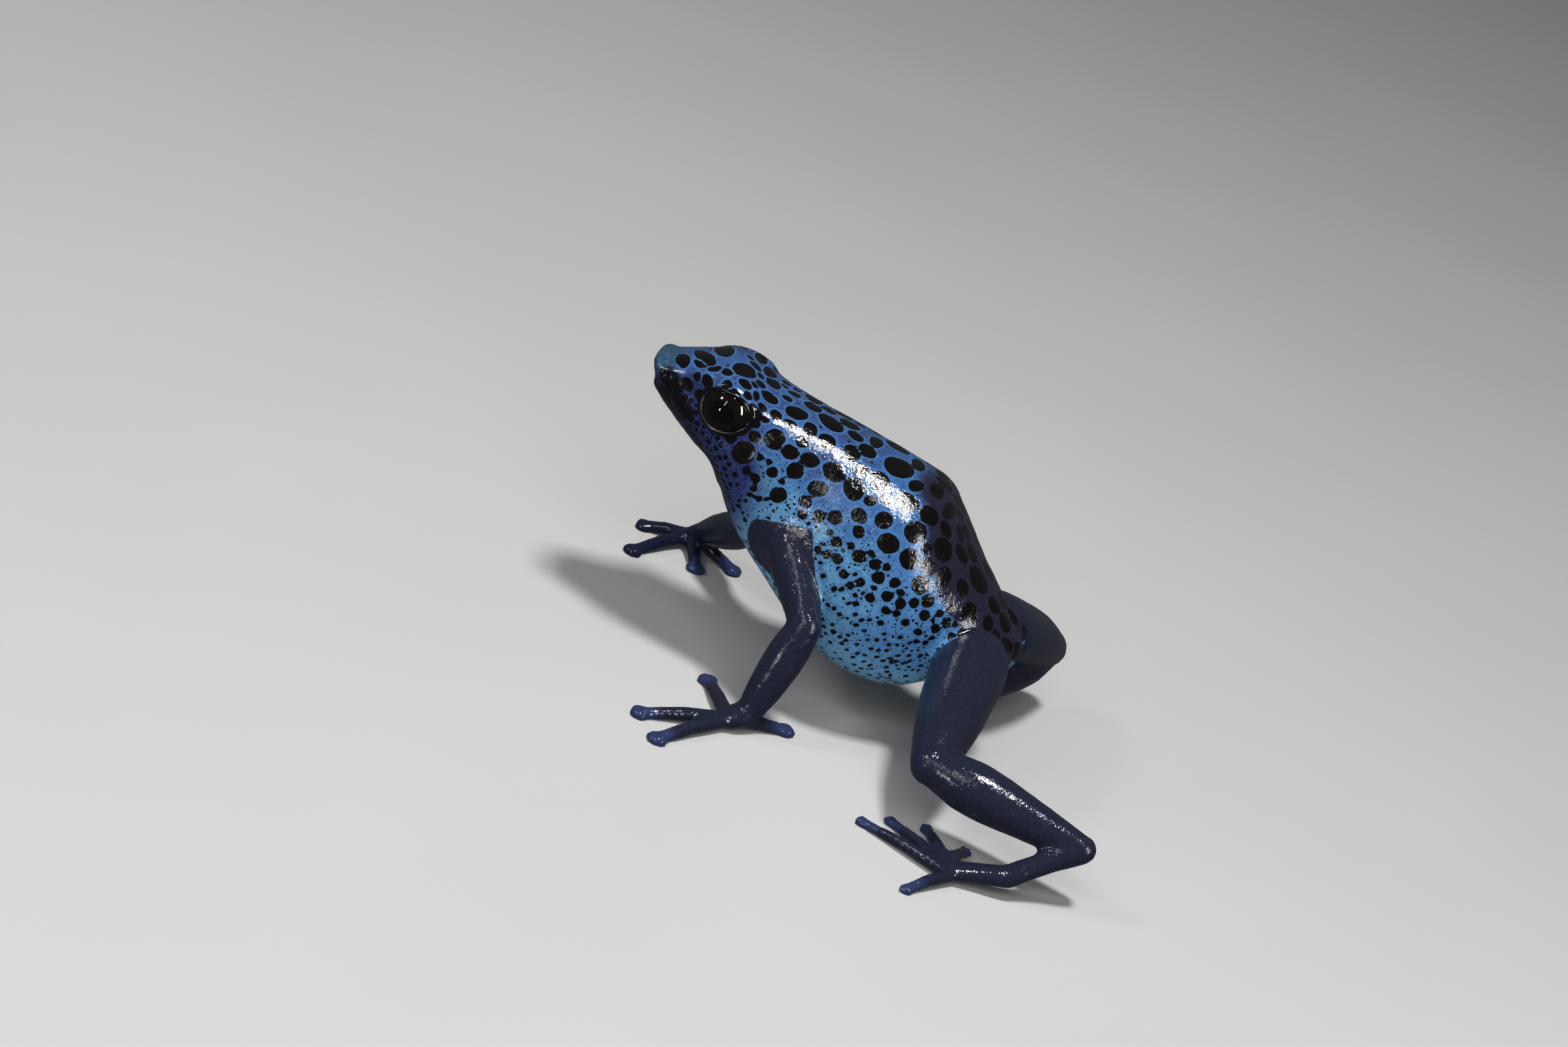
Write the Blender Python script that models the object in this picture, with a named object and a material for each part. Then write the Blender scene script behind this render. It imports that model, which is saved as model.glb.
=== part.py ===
# Blue poison dart frog (Dendrobates tinctorius, blue form): a still, life-size body
# standing on all fours with its front raised. Shapes are worked in millimetres and
# scaled to metres at the end. The frog faces -X, its left is -Y and the floor is z = 0.

import math

import bmesh
import bpy
from mathutils import Matrix, Vector

# Sizes that drive the model, in millimetres and degrees
TO_METRES = 0.001
GAP = 0.3
SNOUT_HEIGHT = 24.8
BODY_PITCH = math.radians(16.5)
NECK = 13.2
SNOUT_ROUND = 1.2
SNOUT_POWER = 2.8
REAR_ROUND = 41.0
BODY_END = 43.4
VOXEL = 0.24
TRIANGLES = 6400

# Outlines of head and trunk: distance behind the snout, then the height or half width
BACK_LINE = ((1.2, 2.15), (3, 4.1), (5, 5.8), (7, 6.1), (8.5, 6.0), (10.3, 5.9), (13.8, 6.4),
             (18, 7.1), (25, 7.9), (28.3, 8.0), (31, 6.6), (35.5, 4.2), (38.7, 2.7), (41, 1.2))
BELLY_LINE = ((1.2, -1.4), (3, -1.9), (7, -2.8), (10, -3.4), (13.4, -6.2), (16, -7.7), (20, -9.2),
              (25, -11.0), (29, -11.8), (33, -11.4), (36, -10.0), (38, -7.7), (41, -4.0))
SIDE_LINE = ((1.2, 3.3), (3, 4.0), (5, 5.0), (7, 5.75), (10.3, 6.5), (14, 6.8), (18, 7.4), (22, 8.5),
             (28, 9.5), (31, 9.0), (35.5, 6.9), (38.7, 5.0), (41, 3.6))
WIDEST_LINE = ((1.2, 0.9), (3, 0.8), (8, 0.5), (12, -1.0), (18, -2.5), (28, -3.0), (36, -2.5),
               (41, -1.0))
TOP_EXPONENT = ((1.2, 2.5), (3, 2.6), (8, 3.0), (18, 2.4), (30, 2.3), (41, 2.1))
BELLY_EXPONENT = 2.1
RIDGE_OUT = 3.9
RIDGE_LIFT = 0.35

# Eyes: where the ball sits behind the snout, beside the midline and above the axis
EYE_PLACE = (7.95, 4.15, 2.72)
EYE_RADIUS = 2.6
EYE_GAP = 0.15
LID_THICKNESS = 0.4
EYE_OPENING = (2.44, 1.8)
EYE_TURN = (-0.14, -1.0, 0.14)
EYE_LEVEL = (1, 0, -0.08)
OPENING_DEPTH = 5.0
OPENING_INNER = 0.85
OPENING_OUTER = 1.15
LID_REACH = 3.0
RIM_RADIUS = 0.26
RIM_REACH = 1.5
RIM_ARCH = 0.65
BROW_PLACE = (7.0, 3.2, 3.0)
BROW_RADII = (4.0, 2.6, 2.9)

# Face: mouth line from the front to its corner, nostrils and ear discs
MOUTH_LINE = ((0.25, -0.35), (2.0, -0.9), (4.5, -1.5), (7.5, -2.1), (10.2, -2.6), (11.4, -3.2))
MOUTH_GROOVE = 0.26
LIP_RADIUS = 0.38
LIP_FROM_MOUTH = 0.45
LIP_INSET = 0.35
LIP_TURN = 2.5
NOSTRIL_PLACE = (1.7, 1.5)
NOSTRIL_SWELL = (0.7, 0.5, 0.5)
NOSTRIL_SWELL_INSET = 0.3
NOSTRIL_RADII = (0.42, 0.4, 0.26)
EAR_PLACE = (11.3, 1.3)
EAR_RADIUS = 1.1
EAR_DEPTH = 0.14
CHIN_SLOPE = 0.3
CHIN_END = 8.0

# Setback of the snout's front by height over the axis, fading out behind it
SNOUT_FRONT = ((-1.5, 0.05), (-0.6, 0.3), (0.2, 0.35), (1.3, -0.7), (2.5, -0.95), (3.5, -0.85))
FRONT_END = 4.0

# Limb joints of the left and right side, as x, y and z
JOINTS = {
    "left": {
        "shoulder": (18.0, -6.4, 15.9), "elbow": (22.6, -10.8, 11.0),
        "wrist": (20.7, -13.0, 2.0), "palm": (19.2, -14.2, 1.0),
        "fingers": ((24.2, -10.3), (15.5, -6.7), (11.9, -18.9), (14.6, -22.5)),
        "hip": (37.6, -4.4, 11.6), "knee": (38.2, -19.6, 7.1),
        "ankle": (53.5, -21.0, 5.8), "instep": (48.3, -24.2, 2.0), "sole": (43.2, -25.2, 0.9),
        "toes": ((43.9, -19.3), (39.9, -18.0), (36.7, -19.4), (34.4, -21.8), (40.7, -30.9)),
    },
    "right": {
        "shoulder": (17.0, 6.3, 15.3), "elbow": (12.4, 11.9, 8.3),
        "wrist": (7.5, 20.6, 2.6), "palm": (5.9, 21.8, 1.0),
        "fingers": ((11.4, 19.4), (8.2, 16.4), (2.0, 14.5), (1.3, 21.3)),
        "hip": (37.6, 4.4, 12.2), "knee": (43.0, 16.9, 6.8),
        "ankle": (36.6, 3.4, 3.4), "instep": (35.0, 12.4, 1.9), "sole": (33.6, 18.0, 0.9),
        "toes": ((28.6, 16.4), (27.0, 19.6), (27.6, 22.4), (28.8, 26.2), (36.4, 25.4)),
    },
}

# Outlines of the limbs: share of the length, half width and half thickness
UPPER_ARM = ((0, 2.3, 2.7), (0.4, 1.8, 2.15), (0.75, 1.6, 1.8), (1, 1.5, 1.5))
FOREARM = ((0, 1.6, 1.6), (0.3, 1.95, 1.9), (0.7, 1.75, 1.7), (1, 1.3, 1.25))
HAND = ((0, 1.25, 1.15), (0.6, 1.4, 1.0), (1, 1.3, 0.8))
THIGH = ((0, 3.6, 3.2), (0.3, 3.45, 3.1), (0.65, 2.95, 2.85), (1, 1.95, 1.95))
SHANK = ((0, 1.8, 1.8), (0.28, 2.5, 2.5), (0.65, 2.0, 2.0), (1, 1.3, 1.3))
TARSUS = ((0, 1.35, 1.35), (0.5, 1.05, 1.05), (1, 1.2, 1.0))
FOOT = ((0, 1.2, 1.0), (0.5, 1.25, 0.85), (1, 1.45, 0.75))
FINGER = ((0, 0.75, 0.65), (0.55, 0.6, 0.6), (1, 0.54, 0.5))
TOE = ((0, 0.62, 0.62), (0.55, 0.6, 0.56), (1, 0.5, 0.46))
FINGER_PAD = (0.88, 0.95, 0.6)
TOE_PAD = (0.78, 0.76, 0.52)
PALM_RADIUS = 0.6
SOLE_WIDTH = 2.6
ROOT_SHARES = {"finger": (0.5, 0.36, 0.36, 0.36), "toe": (0.46, 0.44, 0.44, 0.4, 0.36)}
ROOT_CUT = 1.05
PAD_HEIGHT = 0.3
KNUCKLE_HEIGHT = 0.85

# Cuts through the limbs: radius of each, and how far it is drawn out into the fold of a bent joint
ELBOW_CUT = 3.0
WRIST_CUT = 2.2
KNEE_CUT = 4.6
KNEE_FOLD = {"left": 1.0, "right": 9.0}
ANKLE_CUT = 2.6
ANKLE_FOLD = 3.0
INSTEP_CUT = 2.0
THIGH_SEAM_PLACE = (40, 0, 10)
THIGH_SEAM_SIZE = (20, 16)

AZURE = (0.05, 0.22, 0.58)
NAVY = (0.015, 0.022, 0.10)
COBALT = (0.03, 0.07, 0.30)
EYE_COLOUR = (0.006, 0.004, 0.003)


def clear_scene():
    for item in list(bpy.data.objects):
        bpy.data.objects.remove(item)


def along(line, s):
    # Value of an outline at distance s, on a smooth curve through its points
    for i in range(len(line) - 1):
        if s <= line[i + 1][0] or i == len(line) - 2:
            break
    before = line[max(i - 1, 0)]
    a, b = line[i], line[i + 1]
    after = line[min(i + 2, len(line) - 1)]
    span = b[0] - a[0]
    t = min(max((s - a[0]) / span, 0.0), 1.0)
    start = (b[1] - before[1]) / (b[0] - before[0]) * span
    end = (after[1] - a[1]) / (after[0] - a[0]) * span
    return ((2 * t**3 - 3 * t**2 + 1) * a[1] + (t**3 - 2 * t**2 + t) * start
            + (3 * t**2 - 2 * t**3) * b[1] + (t**3 - t**2) * end)


def body_point(s, y, h):
    # From distance behind the snout, side and height over the axis to x, y and z
    x = s * math.cos(BODY_PITCH) + h * math.sin(BODY_PITCH)
    z = SNOUT_HEIGHT - s * math.sin(BODY_PITCH) + h * math.cos(BODY_PITCH)
    return Vector((x, y, z))


def trunk_point(s, angle, grow=0.0):
    # A point of the skin of head and trunk; snout and rump close in a round
    inside = min(max(s, SNOUT_ROUND), REAR_ROUND)
    top, bottom = along(BACK_LINE, inside), along(BELLY_LINE, inside)
    half, widest = along(SIDE_LINE, inside), along(WIDEST_LINE, inside)
    shrink = 1.0
    if s < SNOUT_ROUND:
        shrink = max(1 - ((SNOUT_ROUND - s) / SNOUT_ROUND) ** SNOUT_POWER, 0) ** (1 / SNOUT_POWER)
    if s > REAR_ROUND:
        shrink = math.sqrt(max(1 - ((s - REAR_ROUND) / (BODY_END + grow - REAR_ROUND)) ** 2, 0))
    level = 0.5 * (top + bottom)
    top, bottom = level + (top - level) * shrink, level + (bottom - level) * shrink
    widest = level + (widest - level) * shrink
    half *= shrink
    c, d = math.cos(angle), math.sin(angle)
    power = along(TOP_EXPONENT, inside) if d > 0 else BELLY_EXPONENT
    y = math.copysign(abs(c) ** (2 / power), c) * (half + grow)
    reach = (top + grow - widest) if d > 0 else (widest - bottom + grow)
    h = widest + math.copysign(abs(d) ** (2 / power), d) * reach
    lean = along(SNOUT_FRONT, h) * max(1 - s / FRONT_END, 0)
    s += CHIN_SLOPE * max(-h, 0) * max(1 - s / CHIN_END, 0) + lean
    if d > 0 and s > NECK:
        fade = min((s - NECK) / 4, 1) * min(max((REAR_ROUND - s) / 8, 0), 1)
        share = abs(y) / max(half, 0.01)
        h += RIDGE_LIFT * fade * math.exp(-((abs(y) - RIDGE_OUT) / 1.1) ** 2) * (1 - share)
    return body_point(s, y, h)


def add_ring(bm, points):
    ring = bmesh.ops.create_circle(bm, cap_ends=False, segments=len(points), radius=1)["verts"]
    for vertex, point in zip(ring, points):
        vertex.co = point
    return list({edge for vertex in ring for edge in vertex.link_edges})


def loft(rings):
    # Closed skin over a row of rings, its two ends filled
    bm = bmesh.new()
    rows = [add_ring(bm, ring) for ring in rings]
    for a, b in zip(rows, rows[1:]):
        bmesh.ops.bridge_loops(bm, edges=a + b)
    bmesh.ops.holes_fill(bm, edges=rows[0] + rows[-1], sides=0)
    bmesh.ops.triangulate(bm, faces=[f for f in bm.faces if len(f.verts) > 4])
    bmesh.ops.recalc_face_normals(bm, faces=bm.faces)
    return bm


def trunk_stations(start, end, count):
    # Sections crowd together where snout and rump close
    return [start + (end - start) * 0.5 * (1 - math.cos(math.pi * (i + 0.35) / (count - 0.3)))
            for i in range(count)]


def trunk(grow=0.0, start=0.0, count=40, sides=40):
    angles = [2 * math.pi * i / sides for i in range(sides)]
    end = BODY_END + grow
    if start > 0:
        stations = [start + (end - start) * math.sin(0.5 * math.pi * i / (count - 0.5))
                    for i in range(count)]
    else:
        stations = trunk_stations(0.0, end, count)
    return loft([[trunk_point(s, a, grow) for a in angles] for s in stations])


def frame_along(direction, up):
    side = direction.cross(up).normalized()
    return side, side.cross(direction).normalized()


def limb(a, b, outline, up, sides=16):
    # A muscle from joint a to joint b, with a round end past each joint
    a, b = Vector(a), Vector(b)
    direction = (b - a).normalized()
    side, top = frame_along(direction, Vector(up))
    rings = []
    length = (b - a).length
    steps = max(int(length / 0.8), 6)
    ends = [math.radians(q) for q in (80, 55, 30)]
    wide = tuple((row[0], row[1]) for row in outline)
    thick = tuple((row[0], row[2]) for row in outline)
    spots = [(0.0, -math.sin(q), math.cos(q)) for q in ends]
    spots += [(i / steps, 0.0, 1.0) for i in range(steps + 1)]
    spots += [(1.0, math.sin(q), math.cos(q)) for q in reversed(ends)]
    for share, past, size in spots:
        width, depth = along(wide, share), along(thick, share)
        centre = a.lerp(b, share) + direction * past * min(width, depth)
        rings.append([centre + side * width * size * math.cos(q) + top * depth * size * math.sin(q)
                      for q in [2 * math.pi * i / sides for i in range(sides)]])
    return loft(rings)


def ball(centre, radii, axes=None, rings=14):
    # An ellipsoid whose radii lie on the given axes
    bm = bmesh.new()
    turn = Matrix(axes).transposed().to_4x4() if axes else Matrix.Identity(4)
    size = Matrix.Diagonal((*radii, 1))
    bmesh.ops.create_uvsphere(bm, u_segments=2 * rings, v_segments=rings, radius=1,
                              matrix=Matrix.Translation(centre) @ turn @ size)
    bmesh.ops.triangulate(bm, faces=bm.faces)
    return bm


def plate(centre, normal, radius, long_axis=None, reach=0.0):
    # A round cut of the gap's thickness, drawn out to one side for a folded joint
    bm = bmesh.new()
    normal = normal.normalized()
    axis = long_axis.normalized() if long_axis else normal.orthogonal().normalized()
    axis = (axis - normal * axis.dot(normal)).normalized()
    other = normal.cross(axis)
    turn = Matrix((axis, other, normal)).transposed().to_4x4()
    size = Matrix.Diagonal((radius + 0.5 * reach, radius, 1, 1))
    place = Matrix.Translation(centre + axis * 0.5 * reach)
    bmesh.ops.create_cone(bm, cap_ends=True, segments=20, radius1=1, radius2=1, depth=GAP,
                          matrix=place @ turn @ size)
    return bm


def rope(points, radius, sides=8):
    # A thin closed tube along a row of points
    rings = []
    for i, point in enumerate(points):
        direction = (points[min(i + 1, len(points) - 1)] - points[max(i - 1, 0)]).normalized()
        side, top = frame_along(direction, Vector((0.02, 0.03, 1)))
        rings.append([point + radius * (side * math.cos(q) + top * math.sin(q))
                      for q in [2 * math.pi * k / sides for k in range(sides)]])
    return loft(rings)


def add_object(name, bm):
    mesh = bpy.data.meshes.new(name)
    bm.to_mesh(mesh)
    bm.free()
    item = bpy.data.objects.new(name, mesh)
    bpy.context.scene.collection.objects.link(item)
    return item


def joined(name, shapes):
    bm = bmesh.new()
    for shape in shapes:
        mesh = bpy.data.meshes.new(name)
        shape.to_mesh(mesh)
        shape.free()
        bm.from_mesh(mesh)
        bpy.data.meshes.remove(mesh)
    return add_object(name, bm)


def apply_modifier(item, kind, **settings):
    modifier = item.modifiers.new(kind.title(), kind)
    for key, value in settings.items():
        setattr(modifier, key, value)
    graph = bpy.context.evaluated_depsgraph_get()
    mesh = bpy.data.meshes.new_from_object(item.evaluated_get(graph))
    item.modifiers.clear()
    old, item.data = item.data, mesh
    bpy.data.meshes.remove(old)


def boolean(item, shapes, operation="DIFFERENCE"):
    # Cuts an object by a set of closed shapes, which are then removed
    group = bpy.data.collections.new("Cutters")
    bpy.context.scene.collection.children.link(group)
    for shape in shapes:
        cutter = add_object("cutter", shape)
        bpy.context.scene.collection.objects.unlink(cutter)
        group.objects.link(cutter)
    if operation == "INTERSECT":
        apply_modifier(item, "BOOLEAN", operation=operation, object=group.objects[0])
    else:
        apply_modifier(item, "BOOLEAN", operation=operation, operand_type="COLLECTION",
                       collection=group)
    for cutter in list(group.objects):
        bpy.data.objects.remove(cutter)
    bpy.data.collections.remove(group)


def islands(mesh):
    # Vertex sets of a mesh's separate closed surfaces
    bm = bmesh.new()
    bm.from_mesh(mesh)
    bm.verts.ensure_lookup_table()
    seen = set()
    parts = []
    for vertex in bm.verts:
        if vertex.index in seen:
            continue
        stack, part = [vertex], []
        seen.add(vertex.index)
        while stack:
            current = stack.pop()
            part.append(current.index)
            for edge in current.link_edges:
                other = edge.other_vert(current)
                if other.index not in seen:
                    seen.add(other.index)
                    stack.append(other)
        parts.append(set(part))
    bm.free()
    return parts


def only(mesh, part):
    # Copy of a mesh that holds one of its separate surfaces
    bm = bmesh.new()
    bm.from_mesh(mesh)
    drop = [v for v in bm.verts if v.index not in part]
    bmesh.ops.delete(bm, geom=drop, context="VERTS")
    return bm


def middle(mesh, part):
    return sum((mesh.vertices[i].co for i in part), Vector()) / len(part)


def side_sign(side):
    return -1 if side == "left" else 1


def eye_centre(side):
    s, y, h = EYE_PLACE
    return body_point(s, side_sign(side) * y, h)


def eye_axes(side):
    # Outward, long and upright axes of the eye's opening
    outward = Vector(EYE_TURN)
    outward.y *= -side_sign(side)
    outward.normalize()
    long_axis = Vector(EYE_LEVEL)
    long_axis = (long_axis - outward * long_axis.dot(outward)).normalized()
    return outward, long_axis, outward.cross(long_axis)


def face_point(s, h, side, inset=0.0):
    # Point of the head's side at a height over the axis
    best = min((trunk_point(s, math.pi * i / 360 - 0.5 * math.pi) for i in range(361)),
               key=lambda p: abs(p.z - body_point(s, p.y, h).z))
    back = inset * max(1 - s / LIP_TURN, 0)
    return Vector((best.x + back, side_sign(side) * (best.y - inset), best.z))


def mouth_points(lift=0.0, inset=0.0):
    stations = [MOUTH_LINE[0][0] + (MOUTH_LINE[-1][0] - MOUTH_LINE[0][0]) * (i / 15) ** 1.6
                for i in range(16)]
    left = [face_point(s, along(MOUTH_LINE, s) + lift, "left", inset) for s in stations]
    right = [face_point(s, along(MOUTH_LINE, s) + lift, "right", inset) for s in stations]
    return list(reversed(left)) + right


def lid_margin(side):
    # Closed line of the two lids' edges, higher over the ball above and below than at its corners
    centre = eye_centre(side)
    outward, long_axis, upright = eye_axes(side)
    wide, high = EYE_OPENING[0] + 0.5 * RIM_RADIUS, EYE_OPENING[1] + 0.7 * RIM_RADIUS
    turns = [2 * math.pi * i / 28 for i in range(29)]
    return [centre + outward * (RIM_REACH + RIM_ARCH * math.sin(q) ** 2)
            + long_axis * wide * math.cos(q) + upright * high * math.sin(q) for q in turns]


def head_forms():
    forms = []
    for side in JOINTS:
        centre = eye_centre(side)
        outward, long_axis, upright = eye_axes(side)
        lid = EYE_RADIUS + EYE_GAP + LID_THICKNESS
        forms.append(ball(centre, (LID_REACH, lid, lid), (outward, long_axis, upright)))
        s, y, h = BROW_PLACE
        forms.append(ball(body_point(s, side_sign(side) * y, h), BROW_RADII))
        forms.append(rope(lid_margin(side), RIM_RADIUS))
        forms.append(ball(nostril(side, NOSTRIL_SWELL_INSET), NOSTRIL_SWELL))
    for lift in (LIP_FROM_MOUTH, -LIP_FROM_MOUTH):
        forms.append(rope(mouth_points(lift, LIP_INSET), LIP_RADIUS))
    return forms


def nostril(side, inset=0.0):
    s, h = NOSTRIL_PLACE
    return face_point(s, h, side, inset)


def ear_dish(side):
    # A shallow round hollow over the ear, cut by a large ball
    s, h = EAR_PLACE
    point = face_point(s, h, side)
    outward = (point - body_point(s, 0, h)).normalized()
    radius = (EAR_RADIUS**2 + EAR_DEPTH**2) / (2 * EAR_DEPTH)
    return ball(point + outward * (radius - EAR_DEPTH), (radius, radius, radius), rings=20)


def arm_bones(joint):
    return [("upper_arm", joint["shoulder"], joint["elbow"], UPPER_ARM),
            ("forearm", joint["elbow"], joint["wrist"], FOREARM),
            ("hand", joint["wrist"], joint["palm"], HAND)]


def leg_bones(joint):
    return [("thigh", joint["hip"], joint["knee"], THIGH),
            ("shank", joint["knee"], joint["ankle"], SHANK),
            ("tarsus", joint["ankle"], joint["instep"], TARSUS),
            ("foot", joint["instep"], joint["sole"], FOOT)]


def finger_roots(joint):
    # Fingers fan out from the middle of the palm
    palm = Vector(joint["palm"])
    aims = [(Vector((*tip, palm.z)) - palm).normalized() for tip in joint["fingers"]]
    return [palm + aim * PALM_RADIUS for aim in aims]


def toe_roots(joint):
    # Toes start from a row across the end of the sole
    sole = Vector(joint["sole"])
    forward = sole - Vector(joint["instep"])
    across = forward.cross(Vector((0, 0, 1))).normalized()
    last = Vector((*joint["toes"][-1], 0)) - Vector((*joint["toes"][0], 0))
    across *= math.copysign(0.5 * SOLE_WIDTH, last.dot(across))
    return [sole + across * (0.5 * i - 1) for i in range(5)]


def digits_of(side):
    joint = JOINTS[side]
    found = [("finger", i + 1, root, joint["fingers"][i])
             for i, root in enumerate(finger_roots(joint))]
    found += [("toe", i + 1, root, joint["toes"][i]) for i, root in enumerate(toe_roots(joint))]
    return found


def digit_points(base, tip):
    # Root, knuckle and pad centre of a finger or toe
    pad = Vector((*tip, PAD_HEIGHT))
    knuckle = base.lerp(pad, 0.5)
    knuckle.z = KNUCKLE_HEIGHT
    return base, knuckle, pad


def digit(base, tip, outline, pad_radii):
    base, knuckle, pad = digit_points(base, tip)
    direction = (pad - base)
    direction.z = 0
    direction.normalize()
    side = direction.cross(Vector((0, 0, 1)))
    near = ((0, outline[0][1], outline[0][2]), (1, outline[1][1], outline[1][2]))
    far = ((0, outline[1][1], outline[1][2]), (1, outline[2][1], outline[2][2]))
    return [limb(base, knuckle, near, (0, 0, 1), 10), limb(knuckle, pad, far, (0, 0, 1), 10),
            ball(pad, pad_radii, (direction, side, Vector((0, 0, 1))), 8)]


def limb_forms(side):
    joint = JOINTS[side]
    forms = []
    for name, a, b, outline in arm_bones(joint) + leg_bones(joint):
        forms.append(limb(a, b, outline, (0, 0, 1) if name != "forearm" else (1, 0, 0)))
    for kind, number, root, tip in digits_of(side):
        outline, pad = (FINGER, FINGER_PAD) if kind == "finger" else (TOE, TOE_PAD)
        forms += digit(root, tip, outline, pad)
    return forms


def joint_cut(before, at, after, radius, reach=0.0):
    # Cut through a joint, in the plane that halves its bend
    before, at, after = Vector(before), Vector(at), Vector(after)
    a, b = (before - at).normalized(), (after - at).normalized()
    inner = a + b
    return plate(at, a - b, radius, inner if inner.length > 0.05 else None, reach)


def root_cut(kind, number, root, tip):
    root, knuckle, pad = digit_points(root, tip)
    place = root.lerp(knuckle, 2 * ROOT_SHARES[kind][number - 1])
    return plate(place, pad - root, ROOT_CUT)


def limb_cuts(side):
    joint = JOINTS[side]
    cuts = [joint_cut(joint["shoulder"], joint["elbow"], joint["wrist"], ELBOW_CUT),
            joint_cut(joint["elbow"], joint["wrist"], joint["palm"], WRIST_CUT),
            joint_cut(joint["hip"], joint["knee"], joint["ankle"], KNEE_CUT, KNEE_FOLD[side]),
            joint_cut(joint["knee"], joint["ankle"], joint["instep"], ANKLE_CUT, ANKLE_FOLD),
            joint_cut(joint["ankle"], joint["instep"], joint["sole"], INSTEP_CUT)]
    cuts += [root_cut(*digit) for digit in digits_of(side)]
    return cuts


def seam_between_thighs():
    bm = bmesh.new()
    long, high = THIGH_SEAM_SIZE
    place = Matrix.Translation(THIGH_SEAM_PLACE) @ Matrix.Diagonal((long, GAP, high, 1))
    bmesh.ops.create_cube(bm, size=1, matrix=place)
    return bm


def anchors():
    # Where the middle of each node lies, to tell the parted surfaces apart
    places = {"head": body_point(7, 0, 0.5)}
    for side, joint in JOINTS.items():
        for name, a, b, outline in arm_bones(joint) + leg_bones(joint):
            places[f"{side}_{name}"] = Vector(a).lerp(Vector(b), 0.5)
        for kind, number, root, tip in digits_of(side):
            places[f"{side}_{kind}_{number}"] = root.lerp(Vector((*tip, PAD_HEIGHT)), 0.7)
    return places


def trim_floor(item):
    bm = bmesh.new()
    bm.from_mesh(item.data)
    cut = bmesh.ops.bisect_plane(bm, geom=list(bm.verts) + list(bm.edges) + list(bm.faces),
                                 plane_co=(0, 0, 0), plane_no=(0, 0, 1), clear_inner=True)
    edges = [e for e in cut["geom_cut"] if isinstance(e, bmesh.types.BMEdge)]
    bmesh.ops.holes_fill(bm, edges=edges, sides=0)
    bmesh.ops.triangulate(bm, faces=bm.faces)
    bmesh.ops.recalc_face_normals(bm, faces=bm.faces)
    bm.to_mesh(item.data)
    bm.free()


def whole_body():
    forms = [trunk()] + head_forms()
    for side in JOINTS:
        forms += limb_forms(side)
    body = joined("body", forms)
    apply_modifier(body, "REMESH", mode="VOXEL", voxel_size=VOXEL)
    apply_modifier(body, "SMOOTH", factor=0.5, iterations=4)
    count = sum(len(p.vertices) - 2 for p in body.data.polygons)
    apply_modifier(body, "DECIMATE", ratio=TRIANGLES / count)
    trim_floor(body)
    return body


def cut_face(head):
    cuts = []
    for side in JOINTS:
        centre = eye_centre(side)
        outward, long_axis, upright = eye_axes(side)
        socket = EYE_RADIUS + EYE_GAP
        cuts.append(ball(centre, (socket, socket, socket), rings=10))
        opening = bmesh.new()
        turn = Matrix((long_axis, upright, outward)).transposed().to_4x4()
        size = Matrix.Diagonal((EYE_OPENING[0], EYE_OPENING[1], 1, 1))
        place = Matrix.Translation(centre + outward * OPENING_DEPTH / 2)
        bmesh.ops.create_cone(opening, cap_ends=True, segments=28, radius1=OPENING_INNER,
                              radius2=OPENING_OUTER, depth=OPENING_DEPTH,
                              matrix=place @ turn @ size)
        cuts.append(opening)
        cuts.append(ball(nostril(side), NOSTRIL_RADII, rings=6))
        cuts.append(ear_dish(side))
    cuts.append(rope(mouth_points(), MOUTH_GROOVE, 6))
    boolean(head, cuts)


def keep_largest(item):
    parts = islands(item.data)
    if len(parts) > 1:
        largest = max(parts, key=len)
        bm = only(item.data, largest)
        bm.to_mesh(item.data)
        bm.free()


def part_body(body):
    # Torso inside a shell cut, then the rest by its joints
    torso = add_object("torso", mesh_copy(body))
    boolean(torso, [trunk(GAP, NECK + 0.5 * GAP)], "INTERSECT")
    keep_largest(torso)
    boolean(body, [trunk(2 * GAP, NECK - 0.5 * GAP), seam_between_thighs()])
    cuts = []
    for side in JOINTS:
        cuts += limb_cuts(side)
    boolean(body, cuts)
    found = {}
    places = anchors()
    for part in islands(body.data):
        centre = middle(body.data, part)
        name = min(places, key=lambda key: (places[key] - centre).length)
        if name not in found or len(part) > len(found[name]):
            found[name] = part
    for name, part in found.items():
        add_object(name, only(body.data, part))
    bpy.data.objects.remove(body)
    cut_face(bpy.data.objects["head"])
    keep_largest(bpy.data.objects["head"])


def mesh_copy(item):
    bm = bmesh.new()
    bm.from_mesh(item.data)
    return bm


def add_eyes():
    for side in JOINTS:
        radius = EYE_RADIUS
        add_object(f"{side}_eye", ball(eye_centre(side), (radius, radius, radius), rings=10))


def finish(colour, roughness):
    material = bpy.data.materials.new("finish")
    material.use_nodes = True
    shader = material.node_tree.nodes["Principled BSDF"]
    shader.inputs["Base Color"].default_value = (*colour, 1)
    shader.inputs["Roughness"].default_value = roughness
    shader.inputs["Metallic"].default_value = 0.0
    return material


def colour_of(name):
    if "eye" in name:
        return EYE_COLOUR
    if name in ("head", "torso"):
        return AZURE
    return COBALT if "finger" in name or "toe" in name else NAVY


def floor_middle():
    # Middle of the whole box, on the floor
    corners = [v.co for item in bpy.data.objects for v in item.data.vertices]
    low = [min(c[i] for c in corners) for i in range(2)]
    high = [max(c[i] for c in corners) for i in range(2)]
    return Vector((0.5 * (low[0] + high[0]), 0.5 * (low[1] + high[1]), 0))


def dress():
    to_origin = Matrix.Scale(TO_METRES, 4) @ Matrix.Translation(-floor_middle())
    for item in bpy.data.objects:
        material = finish(colour_of(item.name), 0.1 if "eye" in item.name else 0.3)
        material.name = item.name
        item.data.materials.clear()
        item.data.materials.append(material)
        item.data.transform(to_origin)
        item.data.shade_smooth()
        item.data.set_sharp_from_angle(angle=math.radians(40))


clear_scene()
part_body(whole_body())
add_eyes()
dress()
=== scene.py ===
import math
import random

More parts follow.
